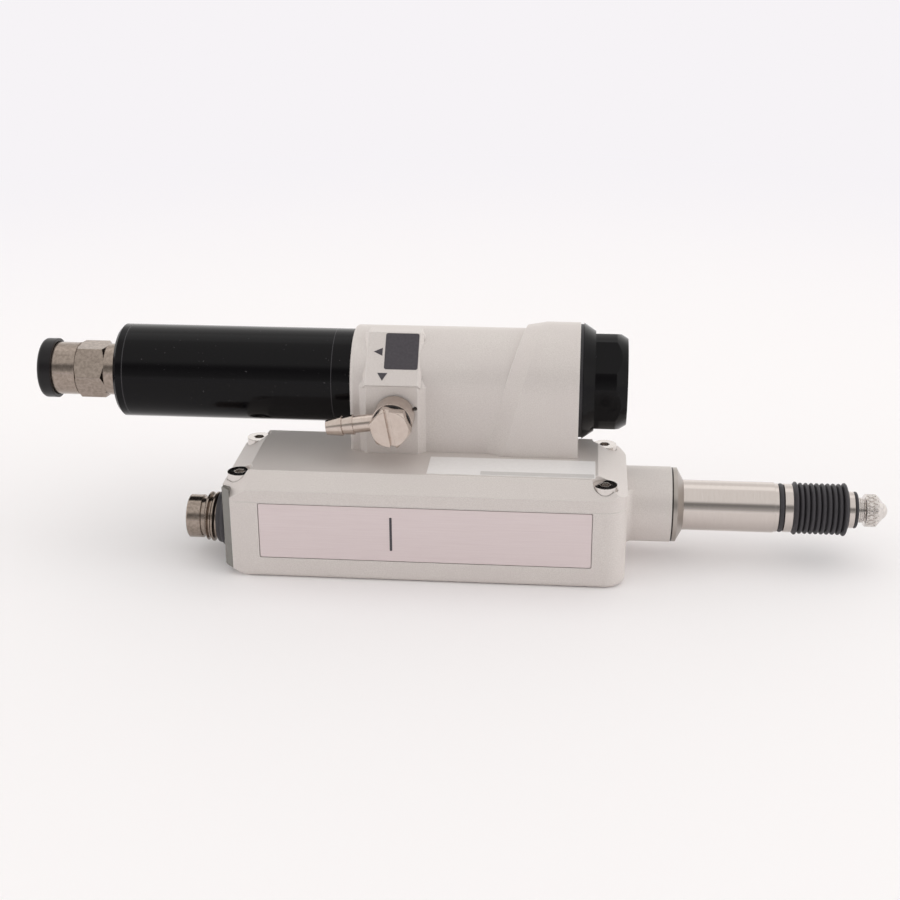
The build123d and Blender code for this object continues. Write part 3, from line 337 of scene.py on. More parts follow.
def mottled(name, size, dark, light, detail=2.0, stretch=(1, 1, 1)):
    """Material whose colour wanders between two hex tones by a grain in millimetres, and its tree and shader."""
    material, tree, shader = new_material(name)
    pattern = grain(tree, size, detail, stretch)
    tone = add(tree, "ShaderNodeMix", {0: pattern.outputs[0], 6: linear(dark), 7: linear(light)}, data_type="RGBA")
    tree.links.new(tone.outputs[2], shader.inputs["Base Color"])
    return material, tree, shader


ink, tree, shader = mottled("charcoal_screen_ink", 0.4, "#3E3B40", "#524E53", detail=3.0)
set_inputs(shader, Roughness=0.45, Specular_IOR_Level=0.3)
thin_patch("port_panel", panel_top_line, panel_buried, panel_face, on_panel, silver_paint, panel_foot_line)
port_marks = (
    ("port_block", rounded_box(-47.22, -41.95, 2.83, 8.92, 0.35)),
    ("inlet_arrow", [(-48.98, 5.74), (-47.6, 5.08), (-47.6, 6.4)]),
    ("outlet_arrow", [(-47.4, 0.9), (-46.63, 2.2), (-48.2, 2.2)]),
)
for name, outline in port_marks:
    thin_patch(name, outline, panel_face, panel_face + ink_thickness, on_panel, ink)


# Nameplate: thin aluminium sheet, brushed along its length, glued into its recess and divided by one printed bar.
# The brushing gives long pinkish streaks of light and shade, drawn coarser than the real strokes so that they show.

stroke_width, streak_width = 0.12, 1.2
plate_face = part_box("nameplate")[0][1] / mm


def on_plate(x, z, out):
    """Point over the nameplate's face."""
    return Vector((x, plate_face - out, z))


brushed_plate, tree, shader = new_material("brushed_aluminium_plate")
strokes = grain(tree, stroke_width, detail=3.0, stretch=(0.02, 1, 1))
streaks = grain(tree, streak_width, stretch=(0.05, 1, 1))
stroke_tone = add(
    tree, "ShaderNodeMix", {0: strokes.outputs[0], 6: linear("#D2C2C3"), 7: linear("#E9DEDE")}, data_type="RGBA"
)
streak_tone = add(
    tree, "ShaderNodeMix", {0: streaks.outputs[0], 6: stroke_tone.outputs[2], 7: linear("#DDD0D0")}, data_type="RGBA"
)
tree.links.new(streak_tone.outputs[2], shader.inputs["Base Color"])
scratch = add(tree, "ShaderNodeBump", {"Strength": 0.1, "Distance": 0.01 * mm, "Height": strokes.outputs[0]})
tree.links.new(scratch.outputs[0], shader.inputs["Normal"])
set_inputs(shader, Metallic=0.4, Roughness=0.38)
dress(brushed_plate, "nameplate")
thin_patch("plate_divider", rounded_box(-45.19, -44.81, -3.3, 2.28, 0.12), 0.0, ink_thickness, on_plate, ink)


# Cover label: white polyester film stuck on the cover, with a pale grey band printed along its front edge.
# The film is smooth and almost white, and the band's print a little darker, both with a soft even shine.

band_inset, band_start, band_width = 0.15, 8.2, 1.5
band_thickness, band_corner = 0.02, 0.05
label_low, label_high = [Vector(corner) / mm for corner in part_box("cover_label")]
band_outline = rounded_box(
    label_low.x + band_start, label_high.x - band_inset, label_low.y + band_inset, label_low.y + band_width, band_corner
)


def on_label(x, y, out):
    """Point over the label's face."""
    return Vector((x, y, label_high.z + out))


white_film, tree, shader = mottled("white_label_film", 0.6, "#E9E6E5", "#F2F0EF")
set_inputs(shader, Roughness=0.5)
dress(white_film, "cover_label")
grey_print, tree, shader = mottled("pale_grey_print", 0.3, "#C9C6C4", "#D3D0CE")
set_inputs(shader, Roughness=0.5)
thin_patch("label_band", band_outline, 0.0, band_thickness, on_label, grey_print)


# Light window: smoke-grey polycarbonate moulding that closes the left end of the block.
# It is clear enough to darken towards the inside, and shines along its rounded edge.

smoked, tree, shader = mottled("smoked_polycarbonate", 2.0, "#8E8B85", "#9C9992")
set_inputs(shader, Roughness=0.16, IOR=1.58, Transmission_Weight=0.45)
window_edge = add(tree, "ShaderNodeBevel", {"Radius": 0.1 * mm}, samples=edge_samples)
tree.links.new(window_edge.outputs[0], shader.inputs["Normal"])
dress(smoked, "indicator_window")


# Banjo bolt and barb, push-in fitting and the connector's nut: brass, turned and milled, then nickel-plated.
# The plating is warm grey and faintly mottled, with fine turning lines round each piece, drawn coarser than the
# tool's real marks. On the fitting, the nut and the connector shell the same nickel is painted darker, as painted
# shade for the dark reflections they show.

line_width = 0.07
round_axis = (1, 0.05, 0.05)
line_strength = 0.14


def turning_lines(tree, shader, edge):
    """Fine turned lines round the X axis, over edges that look rounded by a radius in millimetres."""
    turning = grain(tree, line_width, stretch=round_axis)
    rounded = add(tree, "ShaderNodeBevel", {"Radius": edge * mm}, samples=edge_samples)
    lines = add(
        tree, "ShaderNodeBump",
        {"Strength": line_strength, "Distance": 0.01 * mm, "Height": turning.outputs[0], "Normal": rounded.outputs[0]},
    )
    tree.links.new(lines.outputs[0], shader.inputs["Normal"])


nickel, tree, shader = mottled("satin_nickel_plating", 0.9, "#BFB0A6", "#D8CCC3", detail=4.0)
turning_lines(tree, shader, 0.12)
set_inputs(shader, Metallic=1.0, Roughness=0.2)
dress(nickel, "banjo_bolt", "banjo_elbow")

# Painted shade: this copy of the nickel plating is darker than the plating itself, to stand in for dark reflections.
shaded_nickel, tree, shader = new_material("handled_nickel_plating")
nickel_mottle = grain(tree, 0.5, detail=4.0)
shaded_nickel_share = add(
    tree, "ShaderNodeMapRange",
    {"Value": nickel_mottle.outputs[0], "From Min": 0.3, "From Max": 0.7, "To Min": 0.0, "To Max": 1.0},
)
shaded_nickel_tone = add(
    tree, "ShaderNodeMix", {0: shaded_nickel_share.outputs[0], 6: linear("#8F8379"), 7: linear("#AA9D93")}, data_type="RGBA"
)
tree.links.new(shaded_nickel_tone.outputs[2], shader.inputs["Base Color"])
turning_lines(tree, shader, 0.1)
set_inputs(shader, Metallic=1.0, Roughness=0.2)
dress(shaded_nickel, "connector_nut", "inlet_fitting")


# Connector shell: turned brass, nickel-plated, with a smooth collar, a groove and a rolled M8 thread.
# The thread's ridge is one helix round the core, and the shell screws into the nut behind the window.

thread_pitch, thread_core, thread_crest = 1.0, 3.42, 3.95
collar_length, groove_width, thread_length = 2.33, 0.64, 1.9
collar_radius, groove_radius, run_out_radius, bore_radius = 3.44, 3.15, 3.3, 2.75
round_sides, helix_columns = 96, 66
widest_weld = 0.002 * mm
rule_crease, turned_crease = math.radians(38), math.radians(35)


def turned_grid(tree, columns, sides):
    """Grid whose columns follow a profile and whose rows run round the X axis: mesh, share of profile, angle."""
    grid = add(
        tree, "GeometryNodeMeshGrid", {"Size X": 1.0, "Size Y": 1.0, "Vertices X": columns, "Vertices Y": sides + 1}
    )
    place = add(tree, "ShaderNodeSeparateXYZ", {0: add(tree, "GeometryNodeInputPosition").outputs[0]})
    along = add(tree, "ShaderNodeMath", {0: place.outputs["X"], 1: 0.5}, operation="ADD")
    angle = add(tree, "ShaderNodeMath", {0: place.outputs["Y"], 1: -2 * math.pi}, operation="MULTIPLY")
    return grid.outputs["Mesh"], along.outputs[0], angle.outputs[0]


def tubular_grid(tree, columns, sides, start, end):
    """Turned grid for an outer skin with a bore under it: mesh, angle, X, share of the skin, and if it is skin.

    The first column and the last two are the bore's. They close the form at both ends, and the last one lies on
    the first.
    """
    last = columns - 1
    mesh, along, angle = turned_grid(tree, columns, sides)
    share = add(
        tree, "ShaderNodeMapRange",
        {"Value": along, "From Min": 1 / last, "From Max": (last - 2) / last, "To Min": 0.0, "To Max": 1.0},
    )
    ahead = add(tree, "ShaderNodeMath", {0: along, 1: (last - 0.5) / last}, operation="LESS_THAN")
    forward = add(tree, "ShaderNodeMath", {0: share.outputs[0], 1: ahead.outputs[0]}, operation="MULTIPLY")
    reach = add(tree, "ShaderNodeMath", {0: end, 1: start}, operation="SUBTRACT")
    x = add(tree, "ShaderNodeMath", {0: forward.outputs[0], 1: reach.outputs[0], 2: start}, operation="MULTIPLY_ADD")
    past_first = add(tree, "ShaderNodeMath", {0: along, 1: 0.5 / last}, operation="GREATER_THAN")
    before_bore = add(tree, "ShaderNodeMath", {0: along, 1: (last - 1.5) / last}, operation="LESS_THAN")
    is_skin = add(tree, "ShaderNodeMath", {0: past_first.outputs[0], 1: before_bore.outputs[0]}, operation="MULTIPLY")
    return mesh, angle, x.outputs[0], share.outputs[0], is_skin.outputs[0]


def wrap_round(tree, mesh, x, radius, angle, material, centre=(0.0, 0.0)):
    """Wraps a grid round an axis along X, closes its seam and sends it out with its material."""
    cosine = add(tree, "ShaderNodeMath", {0: angle}, operation="COSINE")
    sine = add(tree, "ShaderNodeMath", {0: angle}, operation="SINE")
    y = add(tree, "ShaderNodeMath", {0: radius, 1: cosine.outputs[0], 2: centre[0]}, operation="MULTIPLY_ADD")
    z = add(tree, "ShaderNodeMath", {0: radius, 1: sine.outputs[0], 2: centre[1]}, operation="MULTIPLY_ADD")
    point = add(tree, "ShaderNodeCombineXYZ", {0: x, 1: y.outputs[0], 2: z.outputs[0]})
    in_metres = add(tree, "ShaderNodeVectorMath", {0: point.outputs[0], "Scale": mm}, operation="SCALE")
    wrapped = add(tree, "GeometryNodeSetPosition", {"Geometry": mesh, "Position": in_metres.outputs[0]})
    closed = add(tree, "GeometryNodeMergeByDistance", {"Geometry": wrapped.outputs[0], "Distance": widest_weld})
    bend = add(tree, "GeometryNodeInputMeshEdgeAngle")
    keen = add(tree, "FunctionNodeCompare", {0: bend.outputs[0], 1: rule_crease}, operation="GREATER_THAN")
    smooth = add(tree, "GeometryNodeSetShadeSmooth", {"Geometry": closed.outputs[0], "Shade Smooth": True})
    creased = add(
        tree, "GeometryNodeSetShadeSmooth",
        {"Geometry": smooth.outputs[0], "Selection": keen.outputs[0], "Shade Smooth": False}, domain="EDGE",
    )
    real = add(tree, "GeometryNodeRealizeInstances", {"Geometry": creased.outputs[0]})
    finished = add(tree, "GeometryNodeSetMaterial", {"Geometry": real.outputs[0], "Material": material})
    add(tree, "NodeGroupOutput", {0: finished.outputs[0]})


def rule(name, *sizes):
    """Geometry tree with one input for each size in millimetres and one for its material."""
    tree = bpy.data.node_groups.new(name, "GeometryNodeTree")
    for size in sizes:
        tree.interface.new_socket(size, in_out="INPUT", socket_type="NodeSocketFloat")
    tree.interface.new_socket("Material", in_out="INPUT", socket_type="NodeSocketMaterial")
    tree.interface.new_socket("Geometry", in_out="OUTPUT", socket_type="NodeSocketGeometry")
    return tree, add(tree, "NodeGroupInput").outputs


def made_by(tree, name, material, sizes):
    """Plain mesh piece from a rule, with its sizes given by name."""
    piece = bpy.data.objects.new(name, bpy.data.meshes.new(name))
    bpy.context.scene.collection.objects.link(piece)
    modifier = piece.modifiers.new("rule", "NODES")
    modifier.node_group = tree
    for socket in tree.interface.items_tree:
        if socket.in_out == "INPUT":
            modifier[socket.identifier] = material if socket.name == "Material" else float(sizes[socket.name])
    result = bpy.data.meshes.new_from_object(piece.evaluated_get(bpy.context.evaluated_depsgraph_get()))
    piece.modifiers.clear()
    piece.data = result
    return piece


def turned(name, outline, material, sides=round_sides, centre=(0.0, 0.0)):
    """Closed turned piece about a line along X, from a loop of (x, radius) points in millimetres."""
    count = len(outline)
    points = []
    for i in range(sides):
        t = 2 * math.pi * i / sides
        points += [Vector((x, centre[0] + r * math.cos(t), centre[1] + r * math.sin(t))) * mm for x, r in outline]
    faces = []
    for i in range(sides):
        here, there = i * count, (i + 1) % sides * count
        for j in range(count):
            k = (j + 1) % count
            faces.append((here + j, there + j, there + k, here + k))
    mesh = bpy.data.meshes.new(name)
    mesh.from_pydata(points, [], faces)
    mesh.polygons.foreach_set("use_smooth", [True] * len(faces))
    mesh.set_sharp_from_angle(angle=turned_crease)
    return new_piece(name, mesh, material)


shell_low, shell_high = [Vector(corner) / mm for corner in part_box("connector_shell")]
shell_centre = ((shell_low.y + shell_high.y) / 2, (shell_low.z + shell_high.z) / 2)
collar_end = shell_low.x + collar_length
thread_start = collar_end + groove_width
thread_end = thread_start + thread_length
shell_outline = [
    (shell_low.x, 2.9), (shell_low.x, 3.25), (shell_low.x + 0.18, collar_radius), (collar_end - 0.1, collar_radius),
    (collar_end, 3.34), (collar_end, groove_radius), (thread_start, groove_radius), (thread_start, 3.4),
    (thread_end, 3.4), (thread_end, run_out_radius), (shell_high.x, run_out_radius), (shell_high.x, bore_radius),
    (shell_low.x + 0.15, bore_radius),
]
# The shell and its thread take the darker nickel copy, whose colour holds painted shade.
shell = turned("connector_shell_turned", shell_outline, shaded_nickel, centre=shell_centre)
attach(shell, "base")
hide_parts("connector_shell")

thread_rule, given = rule("rolled_thread", "Start", "End", "Core", "Crest", "Pitch", "Centre Y", "Centre Z")
mesh, angle, x, thread_share, is_skin = tubular_grid(
    thread_rule, columns=helix_columns, sides=round_sides, start=given["Start"], end=given["End"]
)
turns_along = add(thread_rule, "ShaderNodeMath", {0: x, 1: given["Pitch"]}, operation="DIVIDE")
turns_round = add(
    thread_rule, "ShaderNodeMath", {0: angle, 1: 1 / (2 * math.pi), 2: turns_along.outputs[0]}, operation="MULTIPLY_ADD"
)
ridge = add(thread_rule, "ShaderNodeMath", {0: turns_round.outputs[0], 1: 0.5}, operation="PINGPONG")
flank = add(
    thread_rule, "ShaderNodeMapRange",
    {"Value": ridge.outputs[0], "From Min": 0.08, "From Max": 0.42, "To Min": 0.0, "To Max": 1.0},
    interpolation_type="SMOOTHSTEP",
)
lead_in = add(
    thread_rule, "ShaderNodeMapRange",
    {"Value": thread_share, "From Min": 0.0, "From Max": 0.12, "To Min": 0.0, "To Max": 1.0},
)
lead_out = add(
    thread_rule, "ShaderNodeMapRange",
    {"Value": thread_share, "From Min": 1.0, "From Max": 0.9, "To Min": 0.0, "To Max": 1.0},
)
ends = add(thread_rule, "ShaderNodeMath", {0: lead_in.outputs[0], 1: lead_out.outputs[0]}, operation="MULTIPLY")
lift = add(thread_rule, "ShaderNodeMath", {0: flank.outputs[0], 1: ends.outputs[0]}, operation="MULTIPLY")
depth = add(thread_rule, "ShaderNodeMath", {0: given["Crest"], 1: given["Core"]}, operation="SUBTRACT")
wall = add(
    thread_rule, "ShaderNodeMath", {0: lift.outputs[0], 1: depth.outputs[0], 2: given["Core"]}, operation="MULTIPLY_ADD"
)
bore = add(thread_rule, "ShaderNodeMath", {0: given["Core"], 1: 0.2}, operation="SUBTRACT")
radius = add(thread_rule, "ShaderNodeMix", {0: is_skin, 2: bore.outputs[0], 3: wall.outputs[0]})
wrap_round(
    thread_rule, mesh, x, radius.outputs[0], angle, given["Material"], centre=(given["Centre Y"], given["Centre Z"])
)
thread = made_by(
    thread_rule, "connector_thread", shaded_nickel,
    {"Start": thread_start, "End": thread_end, "Core": thread_core, "Crest": thread_crest, "Pitch": thread_pitch,
     "Centre Y": shell_centre[0], "Centre Z": shell_centre[1]},
)
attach(thread, "base")
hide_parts("connector_shell")


# Stem, spindle, the rings at the ends of the bellows and the small inner steel pieces: stainless steel, turned
# and ground. The grinding leaves very fine lines round each piece and a clear, slightly warm mirror. The lines
# are drawn coarser than life.

finely_round = (1, 0.03, 0.03)
ground_steel, tree, shader = new_material("ground_stainless_steel")
wheel = grain(tree, 0.05, stretch=finely_round)
steel_tone = add(
    tree, "ShaderNodeMix", {0: wheel.outputs[0], 6: linear("#C8BFB9"), 7: linear("#D9D1CC")}, data_type="RGBA"
)
tree.links.new(steel_tone.outputs[2], shader.inputs["Base Color"])
steel_edge = add(tree, "ShaderNodeBevel", {"Radius": 0.08 * mm}, samples=edge_samples)
marks = add(
    tree, "ShaderNodeBump",
    {"Strength": 0.08, "Distance": 0.01 * mm, "Height": wheel.outputs[0], "Normal": steel_edge.outputs[0]},
)
tree.links.new(marks.outputs[0], shader.inputs["Normal"])
set_inputs(shader, Metallic=1.0, Roughness=0.16)
dress(
    ground_steel,
    "stem", "spindle", "bellows_seat", "bellows_cap",
    "air_cylinder", "transfer_tube", "housing_screws", "board_screws", "fitting_collet",
    "return_spring", "regulating_spring", "valve_spring", "diaphragm_plate", "scale_holder",
)


# Return spring and valve spring: coils of stainless wire that close up as the piston or the valve pin comes
# towards them. Each is shown by a fixed copy of its own coil.

for name, body, moving_end in (("return_spring", "spindle_unit", 0), ("valve_spring", "valve", 1)):
    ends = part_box(name)
    coil = bpy.data.objects.new(name + "_coil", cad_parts[name].data.copy())
    bpy.context.scene.collection.objects.link(coil)
    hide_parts(name)
    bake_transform(coil)


# Cover screws and contact ball: steel screws under bright zinc, driven into the case's corners, and a lapped
# steel ball pressed into the tip. Both are close to a mirror, with faint cloudy blotches and soft edges.

plated, tree, shader = mottled("bright_zinc_plated_steel", 0.5, "#D2CCC8", "#E4DFDB", detail=3.0)
screw_edge = add(tree, "ShaderNodeBevel", {"Radius": 0.15 * mm}, samples=edge_samples)
tree.links.new(screw_edge.outputs[0], shader.inputs["Normal"])
set_inputs(shader, Metallic=1.0, Roughness=0.14)
dress(plated, "cover_screws", "contact_ball")


# Nose ring: turned steel, left dull, pressed on the stem against the case's round collar.
# The cut surface is darker than the ground stem, and a painted shade line darkens the ring's end at the gap behind it.

gap_middle, gap_half_width = 0.1 * mm, 0.16 * mm
ring_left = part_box("nose_ring")[0][0]
dull_steel, tree, shader = new_material("dull_turned_steel")
place = add(tree, "ShaderNodeSeparateXYZ", {0: add(tree, "ShaderNodeTexCoord").outputs["Object"]})
gap_shade_mask = add(
    tree, "ShaderNodeMath", {0: place.outputs["X"], 1: ring_left + gap_middle, 2: gap_half_width}, operation="COMPARE"
)
cut_lines = grain(tree, 0.08, stretch=finely_round)
dull_tone = add(
    tree, "ShaderNodeMix", {0: cut_lines.outputs[0], 6: linear("#A59E98"), 7: linear("#BDB6B0")}, data_type="RGBA"
)
# Painted shade: a thin dark band at the ring's left end stands for the shadow in the gap against the collar.
painted_gap_shade = add(
    tree, "ShaderNodeMix", {0: gap_shade_mask.outputs[0], 6: dull_tone.outputs[2], 7: linear("#4A4543")}, data_type="RGBA"
)
tree.links.new(painted_gap_shade.outputs[2], shader.inputs["Base Color"])
ring_edge = add(tree, "ShaderNodeBevel", {"Radius": 0.08 * mm}, samples=edge_samples)
tree.links.new(ring_edge.outputs[0], shader.inputs["Normal"])
set_inputs(shader, Metallic=1.0, Roughness=0.34)
dress(dull_steel, "nose_ring")


# Contact tip: turned from bright steel bar, with two lines in its neck and a crossed knurl rolled over the
# head and its cone. It screws into the spindle and holds the ball. The knurl is drawn coarser and deeper than
# life, so that its points still catch the light.

knurl_columns, knurl_sides = 64, 432
head_length, shoulder_length = 2.8, 1.8
neck_radius, line_radius, chamfer_radius, inner_radius, screw_radius = 2.0, 1.9, 1.92, 1.2, 0.9
groove_start, groove_end = 0.1, 0.8
lip_share, lip_drop = 0.05, -0.16
plain_foot_end, cone_fade_start, cone_fade_end = 0.1, 0.64, 0.76
tip_high = Vector(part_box("contact_tip")[1]) / mm
cap_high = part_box("bellows_cap")[1][0] / mm
head_start = tip_high.x - head_length
neck_outline = [
    (cap_high, screw_radius), (cap_high, chamfer_radius), (cap_high + 0.08, neck_radius),
    (cap_high + 0.28, neck_radius), (cap_high + 0.32, line_radius), (cap_high + 0.4, line_radius),
    (cap_high + 0.44, neck_radius), (cap_high + 0.58, neck_radius), (cap_high + 0.62, line_radius),
    (cap_high + 0.7, line_radius), (cap_high + 0.74, neck_radius), (cap_high + 0.87, neck_radius),
    (cap_high + 0.95, chamfer_radius), (cap_high + 0.95, inner_radius), (head_start + 0.3, inner_radius),
    (head_start + 0.3, screw_radius),
]
neck = turned("tip_neck", neck_outline, plated)
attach(neck, "spindle_unit")
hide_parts("contact_tip")

knurl_rule, given = rule(
    "crossed_knurl", "Start", "Shoulder", "End", "Radius", "End Radius", "Bore", "Depth", "Count", "Twist"
)
mesh, angle, x, head_share, is_skin = tubular_grid(
    knurl_rule, columns=knurl_columns, sides=knurl_sides, start=given["Start"], end=given["End"]
)
cone = add(
    knurl_rule, "ShaderNodeMapRange",
    {"Value": x, "From Min": given["Shoulder"], "From Max": given["End"],
     "To Min": given["Radius"], "To Max": given["End Radius"]},
)
lip = add(
    knurl_rule, "ShaderNodeMapRange",
    {"Value": head_share, "From Min": 0.0, "From Max": lip_share, "To Min": lip_drop, "To Max": 0.0},
)
twist = add(knurl_rule, "ShaderNodeMath", {0: x, 1: given["Twist"]}, operation="MULTIPLY")
grooves = []
for lean in ("ADD", "SUBTRACT"):
    leant = add(knurl_rule, "ShaderNodeMath", {0: angle, 1: twist.outputs[0]}, operation=lean)
    phase = add(knurl_rule, "ShaderNodeMath", {0: leant.outputs[0], 1: given["Count"]}, operation="MULTIPLY")
    wave = add(knurl_rule, "ShaderNodeMath", {0: phase.outputs[0]}, operation="COSINE")
    groove = add(
        knurl_rule, "ShaderNodeMapRange",
        {"Value": wave.outputs[0], "From Min": groove_start, "From Max": groove_end, "To Min": 0.0, "To Max": 1.0},
        interpolation_type="SMOOTHSTEP",
    )
    grooves.append(groove.outputs[0])
cut = add(knurl_rule, "ShaderNodeMath", {0: grooves[0], 1: grooves[1]}, operation="MAXIMUM")
cone_field = add(
    knurl_rule, "ShaderNodeMapRange",
    {"Value": head_share, "From Min": cone_fade_start, "From Max": cone_fade_end, "To Min": 1.0, "To Max": 0.0},
)
foot_field = add(
    knurl_rule, "ShaderNodeMapRange",
    {"Value": head_share, "From Min": lip_share, "From Max": plain_foot_end, "To Min": 0.0, "To Max": 1.0},
)
field = add(knurl_rule, "ShaderNodeMath", {0: cone_field.outputs[0], 1: foot_field.outputs[0]}, operation="MULTIPLY")
cut_here = add(knurl_rule, "ShaderNodeMath", {0: cut.outputs[0], 1: field.outputs[0]}, operation="MULTIPLY")
sunk = add(knurl_rule, "ShaderNodeMath", {0: cut_here.outputs[0], 1: given["Depth"]}, operation="MULTIPLY")
shaped = add(knurl_rule, "ShaderNodeMath", {0: cone.outputs[0], 1: lip.outputs[0]}, operation="ADD")
wall = add(knurl_rule, "ShaderNodeMath", {0: shaped.outputs[0], 1: sunk.outputs[0]}, operation="SUBTRACT")
radius = add(knurl_rule, "ShaderNodeMix", {0: is_skin, 2: given["Bore"], 3: wall.outputs[0]})
wrap_round(knurl_rule, mesh, x, radius.outputs[0], angle, given["Material"])
knurled_head = made_by(
    knurl_rule, "knurled_tip_head", plated,
    {"Start": head_start, "Shoulder": head_start + shoulder_length, "End": tip_high.x, "Radius": 2.58,
     "End Radius": 1.42, "Bore": 1.25, "Depth": 0.28, "Count": 17.0, "Twist": 0.24},
)
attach(knurled_head, "spindle_unit")
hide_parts("contact_tip")


# Seals, gaskets and the diaphragm: black nitrile rubber, moulded, each seated in its groove or between two faces.
# The connector's gasket shows as a stepped, rounded collar behind the nut. The rubber's skin is dry, charcoal
# rather than black, and slightly dusty.

gasket_bore, gasket_lip, gasket_waist, gasket_crown = 3.35, 4.1, 4.12, 4.55
rubber, tree, shader = new_material("black_nitrile_rubber")
dust = grain(tree, 0.3, detail=4.0)
rubber_tone = add(
    tree, "ShaderNodeMix", {0: dust.outputs[0], 6: linear("#2E2C2F"), 7: linear("#444246")}, data_type="RGBA"
)
tree.links.new(rubber_tone.outputs[2], shader.inputs["Base Color"])
skin_bump = add(tree, "ShaderNodeBump", {"Strength": 0.2, "Distance": 0.02 * mm, "Height": dust.outputs[0]})
tree.links.new(skin_bump.outputs[0], shader.inputs["Normal"])
set_inputs(shader, Roughness=0.5, Specular_IOR_Level=0.4)
dress(
    rubber,
    "cover_gasket", "piston_seal", "gland_seal", "tube_oring", "fitting_seal", "bonnet_gasket", "diaphragm",
)

gasket_low, gasket_high = [Vector(corner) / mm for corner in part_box("connector_gasket")]
gasket_outline = [
    (gasket_low.x, gasket_bore), (gasket_low.x, 3.8), (gasket_low.x + 0.1, 4.0), (gasket_low.x + 0.35, gasket_lip),
    (gasket_low.x + 0.7, gasket_waist), (gasket_low.x + 0.8, 4.3), (gasket_low.x + 1.0, 4.48),
    (gasket_low.x + 1.3, gasket_crown), (gasket_low.x + 1.65, 4.52), (gasket_high.x, 4.35),
    (gasket_high.x, gasket_bore),
]
gasket = turned("connector_gasket_moulded", gasket_outline, rubber, centre=shell_centre)
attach(gasket, "base")
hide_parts("connector_gasket")


# O-rings: round cords of the same moulded rubber, one stretched into the groove of the bellows seat and one
# behind the contact tip. Both stand a little proud of the metal.

cord_columns, proud = 33, 0.03
ring_rule, given = rule("o_ring", "Middle", "Ring", "Cord")
mesh, along, angle = turned_grid(ring_rule, columns=cord_columns, sides=round_sides)
roll = add(ring_rule, "ShaderNodeMath", {0: along, 1: 2 * math.pi}, operation="MULTIPLY")
roll_x = add(ring_rule, "ShaderNodeMath", {0: roll.outputs[0]}, operation="COSINE")
roll_r = add(ring_rule, "ShaderNodeMath", {0: roll.outputs[0]}, operation="SINE")
back_x = add(ring_rule, "ShaderNodeMath", {0: roll_x.outputs[0], 1: -1.0}, operation="MULTIPLY")
x = add(
    ring_rule, "ShaderNodeMath", {0: back_x.outputs[0], 1: given["Cord"], 2: given["Middle"]}, operation="MULTIPLY_ADD"
)
radius = add(
    ring_rule, "ShaderNodeMath", {0: roll_r.outputs[0], 1: given["Cord"], 2: given["Ring"]}, operation="MULTIPLY_ADD"
)
wrap_round(ring_rule, mesh, x.outputs[0], radius.outputs[0], angle, given["Material"])
for name, body in (("seat_oring", "base"), ("cap_oring", "spindle_unit")):
    low, high = [Vector(corner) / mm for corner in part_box(name)]
    cord = (high.x - low.x) / 2
    sizes = {"Middle": (low.x + high.x) / 2, "Ring": high.z - cord + proud, "Cord": cord}
    seal = made_by(ring_rule, name + "_moulded", rubber, sizes)
    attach(seal, body)
    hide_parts(name)


# Bellows: moulded rubber boot with ten rounded folds, the end ones larger, stretched over the rings at its ends.
# It closes the gap between the stem and the spindle.

boot_columns = 152
fold_fullness, fold_roundness = 2.2, 0.62
seat_share = -0.25
boot_low, boot_high = [Vector(corner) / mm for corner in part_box("bellows")]
boot_rule, given = rule(
    "bellows_folds", "Start", "End", "Bore", "Bead Inset", "Bead", "Fold", "Root", "Seat", "Steps"
)
mesh, angle, x, _, is_skin = tubular_grid(
    boot_rule, columns=boot_columns, sides=round_sides, start=given["Start"], end=given["End"]
)
first = add(boot_rule, "ShaderNodeMath", {0: given["Start"], 1: given["Bead Inset"]}, operation="ADD")
last = add(boot_rule, "ShaderNodeMath", {0: given["End"], 1: given["Bead Inset"]}, operation="SUBTRACT")
fold = add(
    boot_rule, "ShaderNodeMapRange",
    {"Value": x, "From Min": first.outputs[0], "From Max": last.outputs[0], "To Min": 0.0, "To Max": given["Steps"]},
    clamp=False,
)
nearest = add(boot_rule, "ShaderNodeMath", {0: fold.outputs[0]}, operation="ROUND")
not_before = add(boot_rule, "ShaderNodeMath", {0: nearest.outputs[0], 1: 0.0}, operation="MAXIMUM")
crest = add(boot_rule, "ShaderNodeMath", {0: not_before.outputs[0], 1: given["Steps"]}, operation="MINIMUM")
beside = add(boot_rule, "ShaderNodeMath", {0: fold.outputs[0], 1: crest.outputs[0]}, operation="SUBTRACT")
aside = add(boot_rule, "ShaderNodeMath", {0: beside.outputs[0]}, operation="ABSOLUTE")
halves = add(boot_rule, "ShaderNodeMath", {0: aside.outputs[0], 1: 2.0}, operation="MULTIPLY")
within = add(boot_rule, "ShaderNodeMath", {0: halves.outputs[0], 1: 1.0}, operation="MINIMUM")
squared = add(boot_rule, "ShaderNodeMath", {0: within.outputs[0], 1: fold_fullness}, operation="POWER")
left_over = add(boot_rule, "ShaderNodeMath", {0: 1.0, 1: squared.outputs[0]}, operation="SUBTRACT")
round_top = add(boot_rule, "ShaderNodeMath", {0: left_over.outputs[0], 1: fold_roundness}, operation="POWER")
at_first = add(boot_rule, "ShaderNodeMath", {0: crest.outputs[0], 1: 0.5}, operation="LESS_THAN")
before_last = add(boot_rule, "ShaderNodeMath", {0: given["Steps"], 1: 0.5}, operation="SUBTRACT")
at_last = add(boot_rule, "ShaderNodeMath", {0: crest.outputs[0], 1: before_last.outputs[0]}, operation="GREATER_THAN")
at_bead = add(boot_rule, "ShaderNodeMath", {0: at_first.outputs[0], 1: at_last.outputs[0]}, operation="MAXIMUM")
top = add(boot_rule, "ShaderNodeMix", {0: at_bead.outputs[0], 2: given["Fold"], 3: given["Bead"]})
ridge_wall = add(boot_rule, "ShaderNodeMix", {0: round_top.outputs[0], 2: given["Root"], 3: top.outputs[0]})
